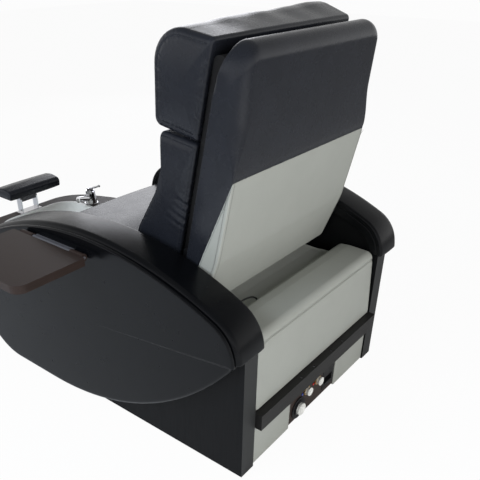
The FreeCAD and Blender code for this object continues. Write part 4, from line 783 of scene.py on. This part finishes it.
SEAT_FRONT = -262
SEAT_TOP = 462
SEAT_FOOT = 342
SEAT_DEPTH = 492
seat_outline = rounded_outline([
    (SEAT_FRONT, SEAT_FOOT, 12),
    (SEAT_FRONT - 2, SEAT_TOP - 16, 34),
    (SEAT_FRONT + SEAT_DEPTH / 2, SEAT_TOP, 700),
    (SEAT_FRONT + SEAT_DEPTH, SEAT_TOP - 12, 14),
    (SEAT_FRONT + SEAT_DEPTH, SEAT_FOOT, 12),
], 280)
seat = cushion_grid(seat_outline, half=313, crown=5, edge=11, puff=1)
skin("seat_cover", seat, black_vinyl, "seat", ["seat_cushion"])

# Back covers: one padded shell behind the frame board, black above and grey
# below. The two are sewn together on a line that slopes down along the sides.

BACK_TOP = 1072
BACK_FOOT = 424
BACK_HALF = 313
BACK_CORNER = 62
SOFT_ROUND = 40
CRISP_ROUND = 4
BELLY_Z = 675.6
FOLD_Z = 574
SEAM_POINT = np.array([0, 594, 791])
SEAM_SLOPE = np.array([0, 102, 233]) / math.hypot(102, 233)
SEAM_OUT = np.array([0, SEAM_SLOPE[2], -SEAM_SLOPE[1]])
COLOUR_SEAM_DEPTH, COLOUR_SEAM_WIDTH = 1.3, 2.4
BACK_PUFF = 1.5


def back_outline(drop):
    """The shell's side outline, with its top lowered."""
    top = BACK_TOP - drop
    return rounded_outline([
        (back_line(BACK_FOOT), BACK_FOOT, 6),
        (back_line(BACK_FOOT) + 73.5, BACK_FOOT - 3, 16),
        (back_line(FOLD_Z) + 98, FOLD_Z, 160),
        (back_line(BELLY_Z) + 97, BELLY_Z, 500),
        (back_line(SEAM_POINT[2] + 20) + 95, SEAM_POINT[2] + 20, 700),
        (back_line(top) + 61, top, 38),
        (back_line(top) + 12, top, 10),
        (back_line(top - 50), top - 50, 60),
    ], 420)


def rear_draw(x, z):
    """How far the rear face draws in near the sides: crisp on the grey part, soft on the black."""
    rise = np.clip((z - SEAM_POINT[2] + 4) / 130, 0, 1)
    radius = CRISP_ROUND + (SOFT_ROUND - CRISP_ROUND) * rise * rise * (3 - 2 * rise)
    into = np.clip(np.abs(x) - BACK_HALF + radius, 0, radius)
    return radius - np.sqrt(radius ** 2 - into ** 2)


def back_grid():
    """Outlines set side by side, lower at the upper corners and thinner at the rear edges."""
    turn = np.linspace(0, np.pi / 2, 44)
    half = np.r_[np.linspace(0, BACK_HALF - BACK_CORNER, 24, endpoint=False),
                 BACK_HALF - BACK_CORNER + BACK_CORNER * np.sin(turn)]
    rows = []
    for at in half:
        into_corner = max(0, at - BACK_HALF + BACK_CORNER)
        drop = BACK_CORNER - math.sqrt(max(0, BACK_CORNER ** 2 - into_corner ** 2))
        outline = back_outline(drop)
        depth = outline[:, 0] - back_line(outline[:, 1])
        outline[:, 0] -= rear_draw(at, outline[:, 1]) * np.clip(depth / 60, 0, 1)
        rows.append(np.c_[np.full(len(outline), at), outline])
    grid = both_ends(rows + end_panel(rows[-1], BACK_HALF, BACK_PUFF, 3, 14))
    ahead = ((grid - SEAM_POINT) * SEAM_OUT).sum(axis=-1)
    groove = COLOUR_SEAM_DEPTH * np.exp(-(ahead / COLOUR_SEAM_WIDTH) ** 2)
    return grid - outward(grid) * groove[..., None]


def cut_back(name, grid, keep_behind, finish, node):
    """The part of the shell on one side of the seam's plane, closed along the cut."""
    faces = grid_faces(*grid.shape[:2])
    mesh = bpy.data.meshes.new(name)
    mesh.from_pydata((grid.reshape(-1, 3) * MM).tolist(), [], faces.tolist())
    form = bmesh.new()
    form.from_mesh(mesh)
    bmesh.ops.remove_doubles(form, verts=form.verts, dist=WELD)
    everything = form.verts[:] + form.edges[:] + form.faces[:]
    bmesh.ops.bisect_plane(form, geom=everything, plane_co=SEAM_POINT * MM, plane_no=SEAM_OUT,
                           clear_inner=keep_behind, clear_outer=not keep_behind)
    rim = [edge for edge in form.edges if edge.is_boundary]
    bmesh.ops.triangle_fill(form, use_beauty=True, edges=rim)
    form.to_mesh(mesh)
    form.free()
    return finish_piece(name, mesh, finish, "back", [node])


GREY_GRAIN = 0.00018
grey_vinyl = vinyl("grey_vinyl", (0.335, 0.345, 0.315), 0.46, grain=GREY_GRAIN, spread=0.02)
shell = back_grid()
cut_back("back_cover_black", shell, False, black_vinyl, "back_cover_upper")
cut_back("back_cover_grey", shell, True, grey_vinyl, "back_cover_lower")
board_black = plain_finish("board_black", (0.003, 0.003, 0.0035), 0.7)
dress(board_black, "back_board")

ROW_FOOT, REAR_ROW_TOP, SIDE_ROW_TOP = 452, 782, 756
ROW_INSET, SIDE_ROW_INSET, SLOPE_ROW_INSET = 8, 9, 3.6
ROW_PROUD, SIDE_ROW_PROUD, SLOPE_ROW_PROUD = 0.25, 1.1, 1.0
rear_edge = back_outline(0)
rear_edge = rear_edge[rear_edge[:, 0] - back_line(rear_edge[:, 1]) > 75]
rear_edge = rear_edge[np.argsort(rear_edge[:, 1])]
rear_z = np.linspace(ROW_FOOT, REAR_ROW_TOP, 90)
side_z = np.linspace(ROW_FOOT, SIDE_ROW_TOP, 90)
seam_run = np.linspace(9, 250, 60)[:, None]
edge_y = np.interp(rear_z, rear_edge[:, 1], rear_edge[:, 0])
side_y = np.interp(side_z, rear_edge[:, 1], rear_edge[:, 0])
grey_rows = []
for sign in (1, -1):
    rear_x = np.full(90, sign * (BACK_HALF - ROW_INSET))
    side_x = np.full(90, sign * (BACK_HALF + SIDE_ROW_PROUD))
    grey_rows.append(np.c_[rear_x, edge_y + ROW_PROUD, rear_z])
    grey_rows.append(np.c_[side_x, side_y - SIDE_ROW_INSET, side_z])
    below = SEAM_POINT - seam_run * SEAM_SLOPE + SLOPE_ROW_INSET * SEAM_OUT
    grey_rows.append(below + np.array([sign * (BACK_HALF + SLOPE_ROW_PROUD), 0, 0]))
grey_thread = plain_finish("grey_thread", (0.085, 0.086, 0.080), 0.6, scale=400)
skin("back_cover_stitching", stitches(grey_rows, radius=0.6), grey_thread, "back")

# Rear box: a padded deck with a rounded rear edge, over a padded rear panel and
# two flat lower ones. All are grey vinyl on board, between the two side boards,
# and a thin sheet of the same vinyl lines the trough in front of the deck. The
# sheet is coloured lighter than the rest: painted light against the trough's shade.

REAR = 693
PANEL_REAR = 681
DECK_FRONT = 553
deck_outline = rounded_outline([
    (PANEL_REAR, 386.6, 7),
    (PANEL_REAR, 412, 23),
    (REAR - 96, 415, 60),
    (DECK_FRONT, 411, 22),
    (DECK_FRONT - 2, 368, 6),
    (DECK_FRONT + 26, 368, 6),
    (DECK_FRONT + 32, 387, 6),
], 240)
deck = cushion_grid(deck_outline, half=319, crown=0, edge=5, puff=0.5, body_rows=80, seam=0.3)
skin("rear_deck_cover", deck, grey_vinyl, "base", ["rear_deck_pad"])


def panel_grid(low, high, puff, edge, count=22):
    """A flat padded board: its rear face swells a little and its edges are rounded."""
    (x0, y0, z0), (x1, y1, z1) = low, high
    outline = rounded_outline([(x0, z0, edge), (x1, z0, edge), (x1, z1, edge), (x0, z1, edge)], 260)
    middle = np.array([(x0 + x1) / 2, (z0 + z1) / 2])
    turn = np.linspace(0, np.pi / 2, 7)
    inset = np.r_[edge, 0, edge * (1 - np.cos(turn))]
    depth = np.r_[y0, y0 + 1, y1 - edge + edge * np.sin(turn)]
    rows = []
    for at, draw in zip(depth, inset):
        ring = shrunk(outline, draw)
        rows.append(np.c_[ring[:, 0], np.full(len(ring), at), ring[:, 1]])
    rim = rows[-1][:, (0, 2)]
    for share in np.linspace(1, 0, count)[1:]:
        ring = towards(middle, rim, share)
        at = y1 + puff * (1 - share ** 6)
        rows.append(np.c_[ring[:, 0], np.full(len(ring), at), ring[:, 1]])
    rows.insert(0, np.full((len(ring), 3), (middle[0], y0, middle[1])))
    return np.array(rows)


FACE_FOOT = 192
FACE_TOP = 385.4
FACE_LEAN = 11
face = panel_grid((-324.5, 655.5, FACE_FOOT), (324.5, 680.5, FACE_TOP), puff=1.0, edge=6)
sloped = np.clip((face[..., 1] - 656) / 24, 0, 1) * (FACE_TOP - face[..., 2])
face[..., 1] += FACE_LEAN * sloped / (FACE_TOP - FACE_FOOT)
skin("rear_face_cover", face, grey_vinyl, "base", ["rear_face_panel"])
LOWER_FOOT, LOWER_TOP = 1.5, 141.4
grey_panel = vinyl("grey_panel", (0.33, 0.34, 0.31), 0.46, grain=GREY_GRAIN, spread=0.02)
for side, x0, x1 in (("left", 140.5, 329.4), ("right", -329.4, -130.5)):
    panel = panel_grid((x0, 671, LOWER_FOOT), (x1, 688.6, LOWER_TOP), puff=0.4, edge=3)
    skin(f"lower_panel_{side}", panel, grey_panel, "base",
         [f"rear_panel_{side}"])

liner_outline = rounded_outline([
    (551.2, 386, 1), (541, 376, 8), (519, 370, 14), (470, 370, 60), (429, 374, 1),
    (429, 370, 1), (470, 366, 60), (519, 366, 12), (541, 372, 6), (550.7, 380, 1),
], 200)
liner = cushion_grid(liner_outline, half=309, crown=0, edge=1.5, puff=0.2, seam=0.1)
# Painted light: the liner's grey is lighter than the grey vinyl it is cut from, to lift the shade
# in the trough.
liner_vinyl_painted_light = vinyl("liner_vinyl_painted_light", (0.47, 0.485, 0.445), 0.5, grain=GREY_GRAIN, spread=0.03)
skin("trough_liner_cover", liner, liner_vinyl_painted_light, "base", ["trough_liner"])

# Crossbar: a black laminated rail across the rear, with the grain along it. Four
# steel screws, sunk into its top, hold the panels' frame.

rail_laminate = laminate("rail_laminate", (0.018, 0.0175, 0.017), 0.42, stretch=LEVEL_GRAIN)
dress(rail_laminate, "rear_crossbar")
steel = plain_finish("steel", (0.10, 0.10, 0.11), 0.45, scale=200, depth=0.0002)
dress(steel, "crossbar_screws")

# Plumbing bay: a dark brown laminated plate with brass necks under white caps,
# the drain outlet with its big cap, two painted dots and the power inlet.

brown_plate = laminate("brown_plate", (0.032, 0.022, 0.019), 0.40, stretch=LEVEL_GRAIN)
dress(brown_plate, "plumbing_plate")
white_plastic = plain_finish("white_plastic", (0.78, 0.78, 0.74), 0.34, spread=0.03)
black_plastic = plain_finish("black_plastic", (0.010, 0.010, 0.011), 0.5, scale=200)
plastic_shader = black_plastic.node_tree.nodes["Principled BSDF"]
plastic_shader.inputs["Specular IOR Level"].default_value = 0.25


def turned_grid(centre, profile, ribs):
    """A profile of (distance back, radius, rib depth) turned about an axis along Y, and ribbed."""
    turn = np.linspace(0, 2 * np.pi, 216, endpoint=False)
    along, radius, rib = (column[:, None] for column in np.array(profile, dtype=float).T)
    radius = radius - rib * (0.5 + 0.5 * np.cos(ribs * turn)) ** 1.5
    return np.stack([centre[0] + radius * np.cos(turn), centre[1] + along + 0 * turn,
                     centre[2] + radius * np.sin(turn)], axis=-1)


PLATE_FACE = 685
INLET_Z = 90
INLET_PLACES = (46, -19)
DRAIN_X, DRAIN_Z = 88, 48
inlet_cap_profile = [
    (4.2, 0, 0), (4.2, 11.8, 0), (4.6, 12.4, 0.9), (10.8, 12.4, 0.9), (11.2, 12.4, 0.3),
    (11.6, 13.2, 0), (12.1, 13.9, 0), (15.9, 13.9, 0), (16.6, 13.6, 0), (17.0, 12.8, 0),
    (17.0, 9.5, 0), (16.4, 9.0, 0), (16.4, 4, 0), (16.4, 0, 0)]
inlet_caps = [turned_grid((x, PLATE_FACE, INLET_Z), inlet_cap_profile, ribs=18)
              for x in INLET_PLACES]
skin("inlet_caps_ribbed", inlet_caps, white_plastic, "base", ["inlet_caps"])
drain_thread = [(6.6 + 0.55 * step, 19.1 + 0.65 * (step % 2), 0) for step in range(9)]
drain_cap_profile = [
    (6.2, 0, 0), (6.2, 19.0, 0), *drain_thread, (11.8, 19.8, 0.5), (15.4, 19.8, 0.5),
    (16.1, 19.3, 0.2), (16.4, 18.5, 0), (16.4, 15.2, 0), (15.6, 14.6, 0), (15.6, 6, 0),
    (15.6, 0, 0)]
drain_cap = turned_grid((DRAIN_X, PLATE_FACE, DRAIN_Z), drain_cap_profile, ribs=36)
skin("drain_cap_threaded", drain_cap, white_plastic, "base", ["drain_cap"])
brass = plain_finish("inlet_brass", (0.72, 0.50, 0.20), 0.28, metallic=1.0)
dress(brass, "cold_inlet", "hot_inlet")
dress(black_plastic, "drain_outlet", "power_inlet")
HOT_RED = (0.42, 0.012, 0.010)
COLD_BLUE = (0.012, 0.035, 0.24)
marker_paint = plain_finish("marker_paint", HOT_RED, 0.35)
marker_tree = marker_paint.node_tree
marker_colour = marker_tree.nodes["Principled BSDF"].inputs["Base Color"]
at_cold = beyond(marker_tree, "X", 0.035)
marker_face = either(marker_tree, at_cold, marker_colour.links[0].from_socket, COLD_BLUE)
marker_tree.links.new(marker_face, marker_colour)
dress(marker_paint, "inlet_markers")

# Basin: a brown laminated deck and skirt round a white foot bowl, with the
# mixer, the jet and the waste in chrome and white plastic.

dress(brown_plate, "basin_deck", "basin_skirt")
dress(white_plastic, "basin_bowl", "jet_cover", "jet_button")
chrome = plain_finish("chrome", (0.82, 0.82, 0.84), 0.10, spread=0.02, metallic=1.0)
dress(chrome, "faucet_body", "faucet_cap", "faucet_lever", "waste_seat", "waste_plug",
      "footrest_stand", "jet_button_bezel")
dress(black_plastic, "jet_housing", "jet_motor", "jet_impeller", "drain_pipe", "cold_hose",
      "hot_hose")

# Footrest: a small vinyl cushion, crowned across, on a steel arm that tilts in a
# chrome stand at the front of the basin.

REST_Y = -706
REST_Z = 403.3
footrest_outline = rounded_outline([
    (REST_Y, REST_Z, 6),
    (REST_Y - 2, REST_Z + 35, 18),
    (REST_Y + 48, REST_Z + 44, 80),
    (REST_Y + 98, REST_Z + 35, 18),
    (REST_Y + 96, REST_Z, 6),
], 160)
footrest = cushion_grid(footrest_outline, half=119, crown=1.5, edge=5, puff=1, body_rows=30)
skin("footrest_cover", footrest, black_vinyl, "footrest", ["footrest_pad"])
dress(steel, "footrest_arm")

# Trays, switches and the mechanism under the seat: brown laminated trays on steel
# brackets, black plastic rockers, and tube and plate in a black powder coat.

dress(brown_plate, "tray_left", "tray_right")
coated_steel = plain_finish("coated_steel", (0.010, 0.010, 0.011), 0.5, scale=120, depth=0.0002)
dress(coated_steel, "base_frame", "seat_carriage", "back_hinge")
dress(steel, "tray_brackets", "recline_rod")
dress(black_plastic, "recline_motor", "switch_plate", "slide_switch", "recline_switch")

# Closing line: the plain view transform.

scene.view_settings.view_transform = "Standard"
